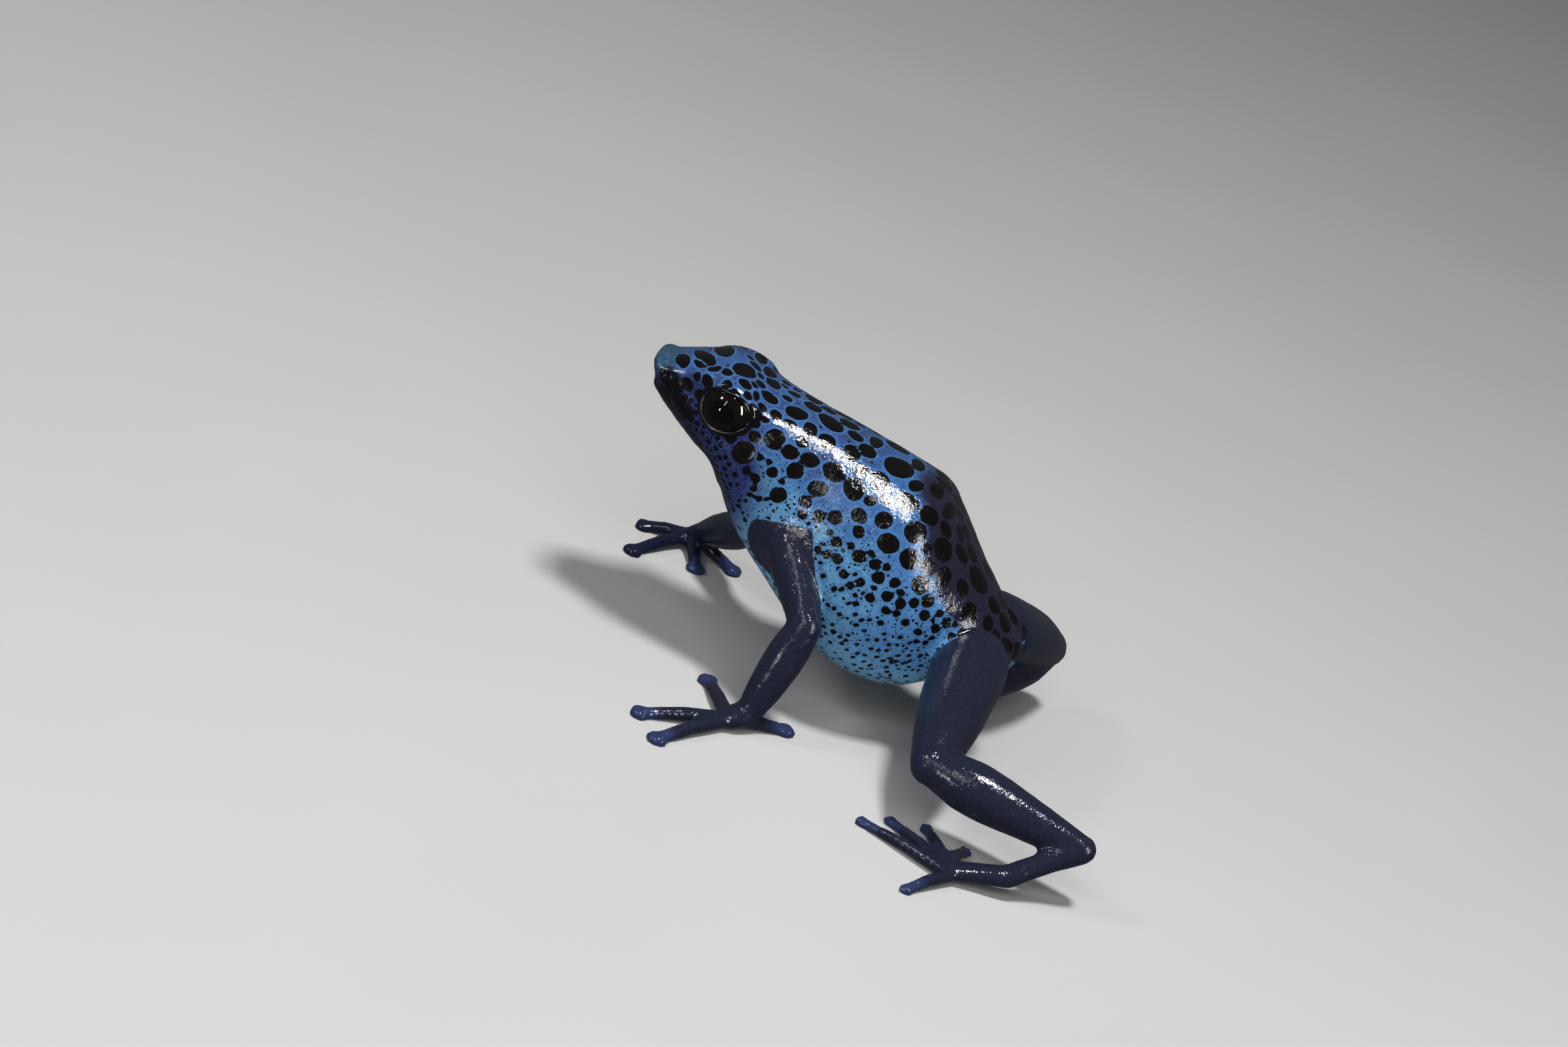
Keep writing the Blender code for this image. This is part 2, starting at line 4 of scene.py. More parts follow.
import bmesh
import bpy
import numpy as np
from mathutils import Matrix, Vector, noise
from mathutils.bvhtree import BVHTree
from mathutils.kdtree import KDTree


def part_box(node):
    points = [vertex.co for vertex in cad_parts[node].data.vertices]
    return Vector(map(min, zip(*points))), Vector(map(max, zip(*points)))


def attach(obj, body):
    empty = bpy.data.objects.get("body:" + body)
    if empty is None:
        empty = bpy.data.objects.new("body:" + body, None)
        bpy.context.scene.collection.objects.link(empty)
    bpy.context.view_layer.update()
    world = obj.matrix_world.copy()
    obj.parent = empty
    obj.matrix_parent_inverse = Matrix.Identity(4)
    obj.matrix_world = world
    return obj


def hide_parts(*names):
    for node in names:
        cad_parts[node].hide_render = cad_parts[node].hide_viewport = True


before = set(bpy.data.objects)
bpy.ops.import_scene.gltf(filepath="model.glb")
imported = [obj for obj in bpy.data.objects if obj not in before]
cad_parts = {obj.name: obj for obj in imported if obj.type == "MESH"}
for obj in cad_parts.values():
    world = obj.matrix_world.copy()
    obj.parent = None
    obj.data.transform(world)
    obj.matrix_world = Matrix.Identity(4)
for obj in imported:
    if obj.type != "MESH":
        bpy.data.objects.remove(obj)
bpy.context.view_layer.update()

body = {
    "snoutHeight": 24.8,
    "pitch": math.radians(16.5),
    "neck": 13.2,
    "snoutRound": 1.2,
    "snoutPower": 2.8,
    "rearRound": 41.0,
    "end": 43.4,
    "back": ((1.2, 2.15), (3, 4.1), (5, 5.8), (7, 6.1), (8.5, 6.0), (10.3, 5.9), (13.8, 6.4), (18, 7.1), (25, 7.9),
             (28.3, 8.0), (31, 6.6), (35.5, 4.2), (38.7, 2.7), (41, 1.2)),
    "belly": ((1.2, -1.4), (3, -1.9), (7, -2.8), (10, -3.4), (13.4, -6.2), (16, -7.7), (20, -9.2),
              (25, -11.0), (29, -11.8), (33, -11.4), (36, -10.0), (38, -7.7), (41, -4.0)),
    "side": ((1.2, 3.3), (3, 4.0), (5, 5.0), (7, 5.75), (10.3, 6.5), (14, 6.8), (18, 7.4), (22, 8.5),
             (28, 9.5), (31, 9.0), (35.5, 6.9), (38.7, 5.0), (41, 3.6)),
    "widest": ((1.2, 0.9), (3, 0.8), (8, 0.5), (12, -1.0), (18, -2.5), (28, -3.0), (36, -2.5), (41, -1.0)),
    "topPower": ((1.2, 2.5), (3, 2.6), (8, 3.0), (18, 2.4), (30, 2.3), (41, 2.1)),
    "bellyPower": 2.1,
    "ridgeOut": 3.9,
    "ridgeLift": 0.35,
    "chinSlope": 0.3,
    "chinEnd": 8.0,
    "front": ((-1.5, 0.05), (-0.6, 0.3), (0.2, 0.35), (1.3, -0.7), (2.5, -0.95), (3.5, -0.85)),
    "frontEnd": 4.0,
}

face = {
    "eye": (7.95, 4.15, 2.72),
    "eyeRadius": 2.6,
    "lidThickness": 0.3,
    "opening": (2.34, 1.72),
    "turn": (-0.14, -1.0, 0.14),
    "level": (1, 0, -0.08),
    "brow": (7.0, 3.2, 3.0),
    "browRadii": (4.0, 2.6, 2.9),
    "mouth": ((0.25, -0.35), (2.0, -0.9), (4.5, -1.5), (7.5, -2.1), (10.2, -2.6), (11.4, -3.2)),
    "lipRadius": 0.38,
    "lipFromMouth": 0.45,
    "lipInset": 0.35,
    "lipTurn": 2.5,
    "nostril": (1.7, 1.5),
    "nostrilSwell": (0.7, 0.5, 0.5),
    "ear": (11.3, 1.3),
}

joints = {
    "left": {
        "shoulder": (18.0, -6.4, 15.9), "elbow": (22.6, -10.8, 11.0),
        "wrist": (20.7, -13.0, 2.0), "palm": (19.2, -14.2, 1.0),
        "fingers": ((24.2, -10.3), (15.5, -6.7), (11.9, -18.9), (14.6, -22.5)),
        "hip": (37.6, -4.4, 11.6), "knee": (38.2, -19.6, 7.1),
        "ankle": (53.5, -21.0, 5.8), "instep": (48.3, -24.2, 2.0), "sole": (43.2, -25.2, 0.9),
        "toes": ((43.9, -19.3), (39.9, -18.0), (36.7, -19.4), (34.4, -21.8), (40.7, -30.9)),
    },
    "right": {
        "shoulder": (17.0, 6.3, 15.3), "elbow": (12.4, 11.9, 8.3),
        "wrist": (7.5, 20.6, 2.6), "palm": (5.9, 21.8, 1.0),
        "fingers": ((11.4, 19.4), (8.2, 16.4), (2.0, 14.5), (1.3, 21.3)),
        "hip": (37.6, 4.4, 12.2), "knee": (43.0, 16.9, 6.8),
        "ankle": (36.6, 3.4, 3.4), "instep": (35.0, 12.4, 1.9), "sole": (33.6, 18.0, 0.9),
        "toes": ((28.6, 16.4), (27.0, 19.6), (27.6, 22.4), (28.8, 26.2), (36.4, 25.4)),
    },
}

limbs = {
    "upperArm": ((0, 2.3, 2.7), (0.4, 1.8, 2.15), (0.75, 1.6, 1.8), (1, 1.5, 1.5)),
    "forearm": ((0, 1.6, 1.6), (0.3, 1.95, 1.9), (0.7, 1.75, 1.7), (1, 1.3, 1.25)),
    "hand": ((0, 1.25, 1.15), (0.6, 1.4, 1.0), (1, 1.3, 0.8)),
    "thigh": ((0, 3.6, 3.2), (0.3, 3.45, 3.1), (0.65, 2.95, 2.85), (1, 1.95, 1.95)),
    "shank": ((0, 1.8, 1.8), (0.28, 2.5, 2.5), (0.65, 2.0, 2.0), (1, 1.3, 1.3)),
    "tarsus": ((0, 1.35, 1.35), (0.5, 1.05, 1.05), (1, 1.2, 1.0)),
    "foot": ((0, 1.2, 1.0), (0.5, 1.25, 0.85), (1, 1.45, 0.75)),
    "finger": ((0, 0.8, 0.7), (0.55, 0.7, 0.66), (1, 0.64, 0.58)),
    "toe": ((0, 0.62, 0.62), (0.55, 0.6, 0.56), (1, 0.5, 0.46)),
    "fingerPad": (0.95, 1.1, 0.62),
    "toePad": (0.72, 0.72, 0.52),
    "palmRadius": 0.6,
    "soleWidth": 2.6,
    "padHeight": 0.3,
    "knuckleHeight": 0.85,
}

skinMesh = {
    "voxel": 0.34,
    "smoothing": 2,
    "fineSmoothing": 7,
    "digitShare": 0.12,
}

# Where limbs flow into the body: how far round a joint, and how many times the skin is evened out
blend = {"shoulder": (1.2, 3.6, 26), "hip": (1.6, 4.4, 22)}

# The view, in pixels of a 2349 x 1568 frame
view = {
    "width": 2349,
    "height": 1568,
    "lens": 100.0,
    "sensor": 36.0,
    "place": (52.397, -374.024, 169.206),
    "forward": (-0.08868, 0.92095, -0.37946),
    "roll": math.radians(20.5),
}


def along(line, s):
    # value of an outline at distance s, on a smooth curve through its points
    for i in range(len(line) - 1):
        if s <= line[i + 1][0] or i == len(line) - 2:
            break
    before = line[max(i - 1, 0)]
    a, b = line[i], line[i + 1]
    after = line[min(i + 2, len(line) - 1)]
    span = b[0] - a[0]
    t = min(max((s - a[0]) / span, 0.0), 1.0)
    start = (b[1] - before[1]) / (b[0] - before[0]) * span
    end = (after[1] - a[1]) / (after[0] - a[0]) * span
    return ((2 * t**3 - 3 * t**2 + 1) * a[1] + (t**3 - 2 * t**2 + t) * start
            + (3 * t**2 - 2 * t**3) * b[1] + (t**3 - t**2) * end)


def bodyPoint(s, y, h):
    # distance behind the snout, side and height over the axis, to x, y and z
    c, d = math.cos(body["pitch"]), math.sin(body["pitch"])
    return Vector((s * c + h * d, y, body["snoutHeight"] - s * d + h * c))


def bodyCoords(co):
    # the other way round, for many points
    c, d = math.cos(body["pitch"]), math.sin(body["pitch"])
    z = co[:, 2] - body["snoutHeight"]
    return co[:, 0] * c - z * d, co[:, 1], co[:, 0] * d + z * c


def trunkPoint(s, angle):
    # a point of the skin of head and trunk; snout and rump close in a round
    first, last = body["snoutRound"], body["rearRound"]
    inside = min(max(s, first), last)
    top, bottom = along(body["back"], inside), along(body["belly"], inside)
    half, widest = along(body["side"], inside), along(body["widest"], inside)
    shrink = 1.0
    if s < first:
        power = body["snoutPower"]
        shrink = max(1 - ((first - s) / first) ** power, 0) ** (1 / power)
    if s > last:
        shrink = math.sqrt(max(1 - ((s - last) / (body["end"] - last)) ** 2, 0))
    level = 0.5 * (top + bottom)
    top, bottom = level + (top - level) * shrink, level + (bottom - level) * shrink
    widest = level + (widest - level) * shrink
    half *= shrink
    c, d = math.cos(angle), math.sin(angle)
    power = along(body["topPower"], inside) if d > 0 else body["bellyPower"]
    y = math.copysign(abs(c) ** (2 / power), c) * half
    reach = (top - widest) if d > 0 else (widest - bottom)
    h = widest + math.copysign(abs(d) ** (2 / power), d) * reach
    lean = along(body["front"], h) * max(1 - s / body["frontEnd"], 0)
    s += body["chinSlope"] * max(-h, 0) * max(1 - s / body["chinEnd"], 0) + lean
    if d > 0 and s > body["neck"]:
        fade = min((s - body["neck"]) / 4, 1) * min(max((last - s) / 8, 0), 1)
        share = abs(y) / max(half, 0.01)
        h += body["ridgeLift"] * fade * math.exp(-((abs(y) - body["ridgeOut"]) / 1.1) ** 2) * (1 - share)
    return bodyPoint(s, y, h)


def addRing(bm, points):
    ring = bmesh.ops.create_circle(bm, cap_ends=False, segments=len(points), radius=1)["verts"]
    for vertex, point in zip(ring, points):
        vertex.co = point
    return list({edge for vertex in ring for edge in vertex.link_edges})


def loft(rings):
    # closed skin over a row of rings
    bm = bmesh.new()
    rows = [addRing(bm, ring) for ring in rings]
    for a, b in zip(rows, rows[1:]):
        bmesh.ops.bridge_loops(bm, edges=a + b)
    bmesh.ops.holes_fill(bm, edges=rows[0] + rows[-1], sides=0)
    bmesh.ops.triangulate(bm, faces=[f for f in bm.faces if len(f.verts) > 4])
    bmesh.ops.recalc_face_normals(bm, faces=bm.faces)
    return bm


def trunk(count=72, sides=72):
    angles = [2 * math.pi * i / sides for i in range(sides)]
    stations = [body["end"] * 0.5 * (1 - math.cos(math.pi * (i + 0.35) / (count - 0.3)))
                for i in range(count)]
    return loft([[trunkPoint(s, a) for a in angles] for s in stations])


def frameAlong(direction, up):
    side = direction.cross(up).normalized()
    return side, side.cross(direction).normalized()


def limb(a, b, outline, up, sides=24):
    # a muscle from joint a to joint b, with a round end past each joint
    a, b = Vector(a), Vector(b)
    direction = (b - a).normalized()
    side, top = frameAlong(direction, Vector(up))
    steps = max(int((b - a).length / 0.5), 8)
    ends = [math.radians(q) for q in (80, 55, 30)]
    wide = tuple((row[0], row[1]) for row in outline)
    thick = tuple((row[0], row[2]) for row in outline)
    stops = [(0.0, -math.sin(q), math.cos(q)) for q in ends]
    stops += [(i / steps, 0.0, 1.0) for i in range(steps + 1)]
    stops += [(1.0, math.sin(q), math.cos(q)) for q in reversed(ends)]
    rings = []
    for share, past, size in stops:
        width, depth = along(wide, share), along(thick, share)
        centre = a.lerp(b, share) + direction * past * min(width, depth)
        rings.append([centre + side * width * size * math.cos(q) + top * depth * size * math.sin(q)
                      for q in [2 * math.pi * i / sides for i in range(sides)]])
    return loft(rings)


def ball(centre, radii, axes=None, rings=20):
    bm = bmesh.new()
    turn = Matrix(axes).transposed().to_4x4() if axes else Matrix.Identity(4)
    size = Matrix.Diagonal((*radii, 1))
    bmesh.ops.create_uvsphere(bm, u_segments=2 * rings, v_segments=rings, radius=1,
                              matrix=Matrix.Translation(centre) @ turn @ size)
    return bm


def rope(points, radius, sides=8):
    # a thin tube along a row of points
    rings = []
    for i, point in enumerate(points):
        direction = (points[min(i + 1, len(points) - 1)] - points[max(i - 1, 0)]).normalized()
        side, top = frameAlong(direction, Vector((0.02, 0.03, 1)))
        rings.append([point + radius * (side * math.cos(q) + top * math.sin(q))
                      for q in [2 * math.pi * k / sides for k in range(sides)]])
    return loft(rings)


def addPiece(name, bm):
    mesh = bpy.data.meshes.new(name)
    bm.to_mesh(mesh)
    bm.free()
    item = bpy.data.objects.new(name, mesh)
    bpy.context.scene.collection.objects.link(item)
    return item


def joined(name, shapes):
    bm = bmesh.new()
    for shape in shapes:
        mesh = bpy.data.meshes.new(name)
        shape.to_mesh(mesh)
        shape.free()
        bm.from_mesh(mesh)
        bpy.data.meshes.remove(mesh)
    return addPiece(name, bm)


def applyModifier(item, kind, **settings):
    modifier = item.modifiers.new(kind.title(), kind)
    for key, value in settings.items():
        setattr(modifier, key, value)
    graph = bpy.context.evaluated_depsgraph_get()
    mesh = bpy.data.meshes.new_from_object(item.evaluated_get(graph))
    item.modifiers.clear()
    old, item.data = item.data, mesh
    bpy.data.meshes.remove(old)


def sideSign(side):
    return -1 if side == "left" else 1


def eyeCentre(side):
    s, y, h = face["eye"]
    return bodyPoint(s, sideSign(side) * y, h)


def eyeAxes(side):
    outward = Vector(face["turn"])
    outward.y *= -sideSign(side)
    outward.normalize()
    longAxis = Vector(face["level"])
    longAxis = (longAxis - outward * longAxis.dot(outward)).normalized()
    return outward, longAxis, outward.cross(longAxis)


def facePoint(s, h, side, inset=0.0):
    # point of the head's side at a height over the axis
    best = min((trunkPoint(s, math.pi * i / 360 - 0.5 * math.pi) for i in range(361)),
               key=lambda p: abs(p.z - bodyPoint(s, p.y, h).z))
    back = inset * max(1 - s / face["lipTurn"], 0)
    return Vector((best.x + back, sideSign(side) * (best.y - inset), best.z))


def mouthPoints(lift=0.0, inset=0.0, count=16):
    line = face["mouth"]
    stations = [line[0][0] + (line[-1][0] - line[0][0]) * (i / (count - 1)) ** 1.6 for i in range(count)]
    left = [facePoint(s, along(line, s) + lift, "left", inset) for s in stations]
    right = [facePoint(s, along(line, s) + lift, "right", inset) for s in stations]
    return list(reversed(left)) + right


def headForms():
    forms = []
    for side in joints:
        centre = eyeCentre(side)
        lid = face["eyeRadius"] + face["lidThickness"]
        forms.append(ball(centre, (lid, lid, lid), eyeAxes(side)))
        s, y, h = face["brow"]
        forms.append(ball(bodyPoint(s, sideSign(side) * y, h), face["browRadii"]))
        s, h = face["nostril"]
        forms.append(ball(facePoint(s, h, side, 0.3), face["nostrilSwell"]))
    for lift in (face["lipFromMouth"], -face["lipFromMouth"]):
        forms.append(rope(mouthPoints(lift, face["lipInset"]), face["lipRadius"]))
    return forms


def armBones(joint):
    return [("upperArm", joint["shoulder"], joint["elbow"]),
            ("forearm", joint["elbow"], joint["wrist"]),
            ("hand", joint["wrist"], joint["palm"])]


def legBones(joint):
    return [("thigh", joint["hip"], joint["knee"]), ("shank", joint["knee"], joint["ankle"]),
            ("tarsus", joint["ankle"], joint["instep"]), ("foot", joint["instep"], joint["sole"])]


def fingerRoots(joint):
    palm = Vector(joint["palm"])
    aims = [(Vector((*tip, palm.z)) - palm).normalized() for tip in joint["fingers"]]
    return [palm + aim * limbs["palmRadius"] for aim in aims]


def toeRoots(joint):
    sole = Vector(joint["sole"])
    forward = sole - Vector(joint["instep"])
    across = forward.cross(Vector((0, 0, 1))).normalized()
    last = Vector((*joint["toes"][-1], 0)) - Vector((*joint["toes"][0], 0))
    across *= math.copysign(0.5 * limbs["soleWidth"], last.dot(across))
    return [sole + across * (0.5 * i - 1) for i in range(5)]


def digitsOf(side):
    # kind, root, knuckle and pad centre of each finger and toe
    joint = joints[side]
    found = [("finger", root, tip) for root, tip in zip(fingerRoots(joint), joint["fingers"])]
    found += [("toe", root, tip) for root, tip in zip(toeRoots(joint), joint["toes"])]
    rows = []
    for kind, root, tip in found:
        pad = Vector((*tip, limbs["padHeight"]))
        knuckle = root.lerp(pad, 0.5)
        knuckle.z = limbs["knuckleHeight"]
        rows.append((kind, root, knuckle, pad))
    return rows


def digitForms(kind, root, knuckle, pad):
    outline, radii = limbs[kind], limbs[kind + "Pad"]
    direction = pad - root
    direction.z = 0
    direction.normalize()
    side = direction.cross(Vector((0, 0, 1)))
    near = ((0, outline[0][1], outline[0][2]), (1, outline[1][1], outline[1][2]))
    far = ((0, outline[1][1], outline[1][2]), (1, outline[2][1], outline[2][2]))
    return [limb(root, knuckle, near, (0, 0, 1), 16), limb(knuckle, pad, far, (0, 0, 1), 16),
            ball(pad, radii, (direction, side, Vector((0, 0, 1))), 12)]


def limbForms(side):
    joint = joints[side]
    forms = []
    for name, a, b in armBones(joint) + legBones(joint):
        forms.append(limb(a, b, limbs[name], (0, 0, 1) if name != "forearm" else (1, 0, 0)))
    for digit in digitsOf(side):
        forms += digitForms(*digit)
    return forms


def smoothstep(low, high, value):
    t = np.clip((value - low) / (high - low), 0, 1)
    return t * t * (3 - 2 * t)


def pointsOf(mesh):
    co = np.empty(len(mesh.vertices) * 3)
    mesh.vertices.foreach_get("co", co)
    return co.reshape(-1, 3)


def normalsOf(mesh):
    no = np.empty(len(mesh.vertices) * 3, np.float32)
    mesh.vertex_normals.foreach_get("vector", no)
    return no.reshape(-1, 3).astype(float)


def setPoints(mesh, co):
    mesh.vertices.foreach_set("co", co.astype(np.float32).ravel())
    mesh.update()


def edgesOf(mesh):
    pairs = np.empty(len(mesh.edges) * 2, np.int64)
    mesh.edges.foreach_get("vertices", pairs)
    return pairs.reshape(-1, 2)


def relax(co, pairs, weight, rounds, strength=0.5):
    # evens out the surface where weight is above nothing
    count = np.bincount(pairs.ravel(), minlength=len(co))[:, None]
    for _ in range(rounds):
        total = np.zeros_like(co)
        for k in range(3):
            total[:, k] = (np.bincount(pairs[:, 0], co[pairs[:, 1], k], len(co))
                           + np.bincount(pairs[:, 1], co[pairs[:, 0], k], len(co)))
        co = co + (total / count - co) * (strength * weight)[:, None]
    return co


def alongBone(co, a, b):
    # share of the way from a to b, and the distance from that line
    a, b = np.array(a), np.array(b)
    d = b - a
    t = np.clip(((co - a) @ d) / max(d @ d, 1e-9), 0, 1)
    return t, np.linalg.norm(co - (a + t[:, None] * d), axis=1)


def nearLine(co, points):
    # distance of each vertex from a row of points
    points = [np.array(p) for p in points]
    low, high = np.min(points, 0) - 2, np.max(points, 0) + 2
    found = np.full(len(co), 99.0)
    close = np.nonzero(((co > low) & (co < high)).all(1))[0]
    for a, b in zip(points, points[1:]):
        found[close] = np.minimum(found[close], alongBone(co[close], a, b)[1])
    return found


def growSkin():
    forms = [trunk()] + headForms()
    for side in joints:
        forms += limbForms(side)
    skin = joined("skin", forms)
    applyModifier(skin, "REMESH", mode="VOXEL", voxel_size=skinMesh["voxel"])
    applyModifier(skin, "SMOOTH", factor=0.5, iterations=skinMesh["smoothing"])
    return skin


def fromMargin(co, side):
    # distance over the eyeball from the lids' edges, below 0 in the opening
    centre = np.array(eyeCentre(side))
    outward, longAxis, upright = (np.array(a) for a in eyeAxes(side))
    d = co - centre
    length = np.maximum(np.linalg.norm(d, axis=1), 1e-6)
    across, up = d @ longAxis / length, d @ upright / length
    wide, high = face["opening"]
    lean = np.maximum(np.hypot(across, up), 1e-6)
    margin = lean / np.hypot(across / wide, up / high)
    angle = np.arccos(np.clip(d @ outward / length, -1, 1))
    gap = (angle - np.arcsin(np.minimum(margin / face["eyeRadius"], 1))) * face["eyeRadius"]
    return np.where(length < face["eyeRadius"] + 2.5, gap, 9.0), d, length


def lidZone(co):
    zone = np.zeros(len(co), bool)
    for side in joints:
        gap = fromMargin(co, side)[0]
        zone |= (gap > -0.5) & (gap < 0.8)
    return zone


def fineZone(co):
    # head and digits get a mesh of half the size; thin digits are evened out less
    s, y, h = bodyCoords(co)
    zone = (s < body["neck"] - 0.5).astype(float)
    for side in joints:
        for kind, root, knuckle, pad in digitsOf(side):
            for a, b in ((root, knuckle), (knuckle, pad)):
                zone[alongBone(co, a, b)[1] < 1.15] = skinMesh["digitShare"]
    return zone


def refine(skin, inZone):
    zone = inZone(pointsOf(skin.data))
    bm = bmesh.new()
    bm.from_mesh(skin.data)
    bm.verts.ensure_lookup_table()
    edges = [e for e in bm.edges if zone[e.verts[0].index] > 0 and zone[e.verts[1].index] > 0]
    bmesh.ops.subdivide_edges(bm, edges=edges, cuts=1, use_grid_fill=True, smooth=0.0)
    bm.to_mesh(skin.data)
    bm.free()
    co = pointsOf(skin.data)
    weight = inZone(co) * 1.0
    setPoints(skin.data, relax(co, edgesOf(skin.data), weight, skinMesh["fineSmoothing"]))


def blendJoints(skin):
    # shoulders and hips run into the body without a step
    co, pairs = pointsOf(skin.data), edgesOf(skin.data)
    for name, (full, none, rounds) in blend.items():
        weight = np.zeros(len(co))
        for side in joints:
            distance = np.linalg.norm(co - np.array(joints[side][name]), axis=1)
            weight = np.maximum(weight, 1 - smoothstep(full + 1.0, none, distance))
        co = relax(co, pairs, weight, rounds)
    setPoints(skin.data, co)


def layOnFloor(skin):
    # small flats under hands and feet
    co = pointsOf(skin.data)
    co[:, 2] = np.maximum(co[:, 2], 0)
    setPoints(skin.data, co)


class Camera:
    # the photograph's view: turns pixels into lines of sight
    def __init__(self):
        self.place = Vector(view["place"])
        back = -Vector(view["forward"]).normalized()
        right = Vector((0, 0, 1)).cross(back).normalized()
        up = back.cross(right)
        c, d = math.cos(view["roll"]), math.sin(view["roll"])
        self.right = right * c + up * d
        self.up = up * c - right * d
        self.back = back
        self.focal = view["lens"] / view["sensor"] * view["width"]

    def ray(self, x, y):
        line = (self.right * (x - view["width"] / 2) / self.focal
                + self.up * (view["height"] / 2 - y) / self.focal - self.back)
        return line.normalized()


class SkinSurface:
    # finds places on the present skin
    def __init__(self, item):
        mesh = item.data
        corners = [tuple(p.vertices) for p in mesh.polygons]
        self.tree = BVHTree.FromPolygons([v.co for v in mesh.vertices], corners)

    def seen(self, x, y):
        # point and normal under a pixel
        point, normal, _, _ = self.tree.ray_cast(camera.place, camera.ray(x, y))
        return point, normal

    def nearest(self, point):
        return self.tree.find_nearest(point)[0]

    def sightLine(self, pixels):
        return [p for p in (self.seen(x, y)[0] for x, y in pixels) if p is not None]


def trunkOutside(co):
    # how far each point stands out of head and trunk, and its height on the side, -1 to 1
    s, y, h = bodyCoords(co)
    inside = np.clip(s, body["snoutRound"], body["rearRound"])
    table = {key: np.interp(inside, *zip(*body[key])) for key in ("back", "belly", "side", "widest")}
    power = np.interp(inside, *zip(*body["topPower"]))
    upper = h > table["widest"]
    power = np.where(upper, power, body["bellyPower"])
    reach = np.where(upper, table["back"] - table["widest"], table["widest"] - table["belly"])
    size = np.minimum(reach, table["side"])
    across = np.abs(y / table["side"]) ** power
    share = (across + np.abs((h - table["widest"]) / reach) ** power) ** (1 / power)
    outside = (share - 1) * size
    past = np.maximum(s - body["end"], 0)
    rise = np.clip((h - table["widest"]) / reach, -1.2, 1.2)
    return np.maximum(outside, past), rise, s


def limbNearness(co):
    # 0 on the trunk, 1 on a limb; also how far out on the limb
    near = np.zeros(len(co))
    for side in joints:
        joint = joints[side]
        for name, a, b in armBones(joint) + legBones(joint):
            wide = tuple((row[0], max(row[1], row[2])) for row in limbs[name])
            t, distance = alongBone(co, a, b)
            radius = np.interp(t, *zip(*wide))
            near = np.maximum(near, 1 - smoothstep(1.15, 1.6, distance / radius))
        for kind, root, knuckle, pad in digitsOf(side):
            for a, b in ((root, knuckle), (knuckle, pad)):
                near = np.maximum(near, 1 - smoothstep(1.1, 1.6, alongBone(co, a, b)[1]))
    return near


sculpt = {
    "mouth": (0.24, 0.13),
    "nostrilPit": (0.34, 0.24),
    "earDish": (0.08, 1.1),
    "jointCrease": (0.22, 0.28),
    "lumps": ((1.5, 0.045), (0.75, 0.02)),
    "padGroove": (0.12, 0.13),
    "fold": (0.16, 0.2),
    "bellyFold": ((1229, 931), (1248, 944), (1267, 959), (1283, 972), (1296, 987), (1317, 1004)),
}


def carve(co, no, distance, depth, width):
    return co - no * (depth * np.exp(-(distance / width) ** 2))[:, None]


def sculptSkin(skin):
    mesh = skin.data
    surface = SkinSurface(skin)
    co, no = pointsOf(mesh), normalsOf(mesh)
    depth, width = sculpt["mouth"]
    line = [surface.nearest(p) for p in mouthPoints(0, 0, 40)]
    co = carve(co, no, nearLine(co, line), depth, width)
    depth, width = sculpt["nostrilPit"]
    for side in joints:
        s, h = face["nostril"]
        place = surface.nearest(facePoint(s, h, side))
        distance = np.linalg.norm(co - np.array(place), axis=1)
        co = carve(co, no, distance, depth, width)
    depth, radius = sculpt["earDish"]
    for side in joints:
        s, h = face["ear"]
        place = np.array(surface.nearest(facePoint(s, h, side)))
        distance = np.linalg.norm(co - place, axis=1)
        co = co - no * (depth * (1 - smoothstep(0.55 * radius, 1.1 * radius, distance)))[:, None]
    depth, width = sculpt["fold"]
    line = surface.sightLine(sculpt["bellyFold"])
    co = carve(co, no, nearLine(co, line), depth, width)
    outside, rise, s = trunkOutside(co)
    depth, width = sculpt["jointCrease"]
    away = np.where(limbNearness(co) > 0.5, np.abs(outside - 0.3), 9.0)
    away = np.where(s > body["neck"], away, 9.0)
    co = carve(co, no, away, depth, width)
    depth, width = sculpt["padGroove"]
    for side in joints:
        for kind, root, knuckle, pad in digitsOf(side):
            tip = pad + (pad - knuckle).normalized()
            top = Vector((0, 0, limbs[kind + "Pad"][2]))
            co = carve(co, no, nearLine(co, (pad + top, tip + 0.5 * top)), depth, width)
    near = limbNearness(co)
    share = smoothstep(6, 16, s) * (1 - 0.5 * near)
    for wave, height in sculpt["lumps"]:
        swell = np.array([noise.noise(Vector(p) / wave) for p in co])
        co = co + no * (height * swell * (0.25 + 0.75 * share))[:, None]
    setPoints(mesh, co)


lids = {
    # distance from the lids' edges, and height over the eyeball
    "profile": ((-0.06, -0.35), (0.04, 0.1), (0.11, 0.19), (0.28, 0.22), (0.55, 0.22)),
    "blend": (0.12, 0.95),
    "upperFold": (0.66, 0.2, 0.09),
    "lowerFold": (0.62, 0.16, 0.05),
}


def formLids(skin):
    # hollows for the eyes, and lids that lie close on the eyeballs
    mesh = skin.data
    co = pointsOf(mesh)
    for side in joints:
        gap, d, length = fromMargin(co, side)
        upward = d @ np.array(eyeAxes(side)[2]) * (1 if side == "left" else -1)
        target = face["eyeRadius"] + np.interp(gap, *zip(*lids["profile"]))
        hold = smoothstep(*lids["blend"], gap)
        moved = target * (1 - hold) + length * hold
        for name, sign in (("upperFold", 1), ("lowerFold", -1)):
            place, width, depth = lids[name]
            mine = smoothstep(-0.2, 0.8, sign * upward)
            moved -= depth * mine * np.exp(-((gap - place) / width) ** 2)
        co += np.where(gap < 1.2, moved / length - 1, 0)[:, None] * d
    setPoints(mesh, co)


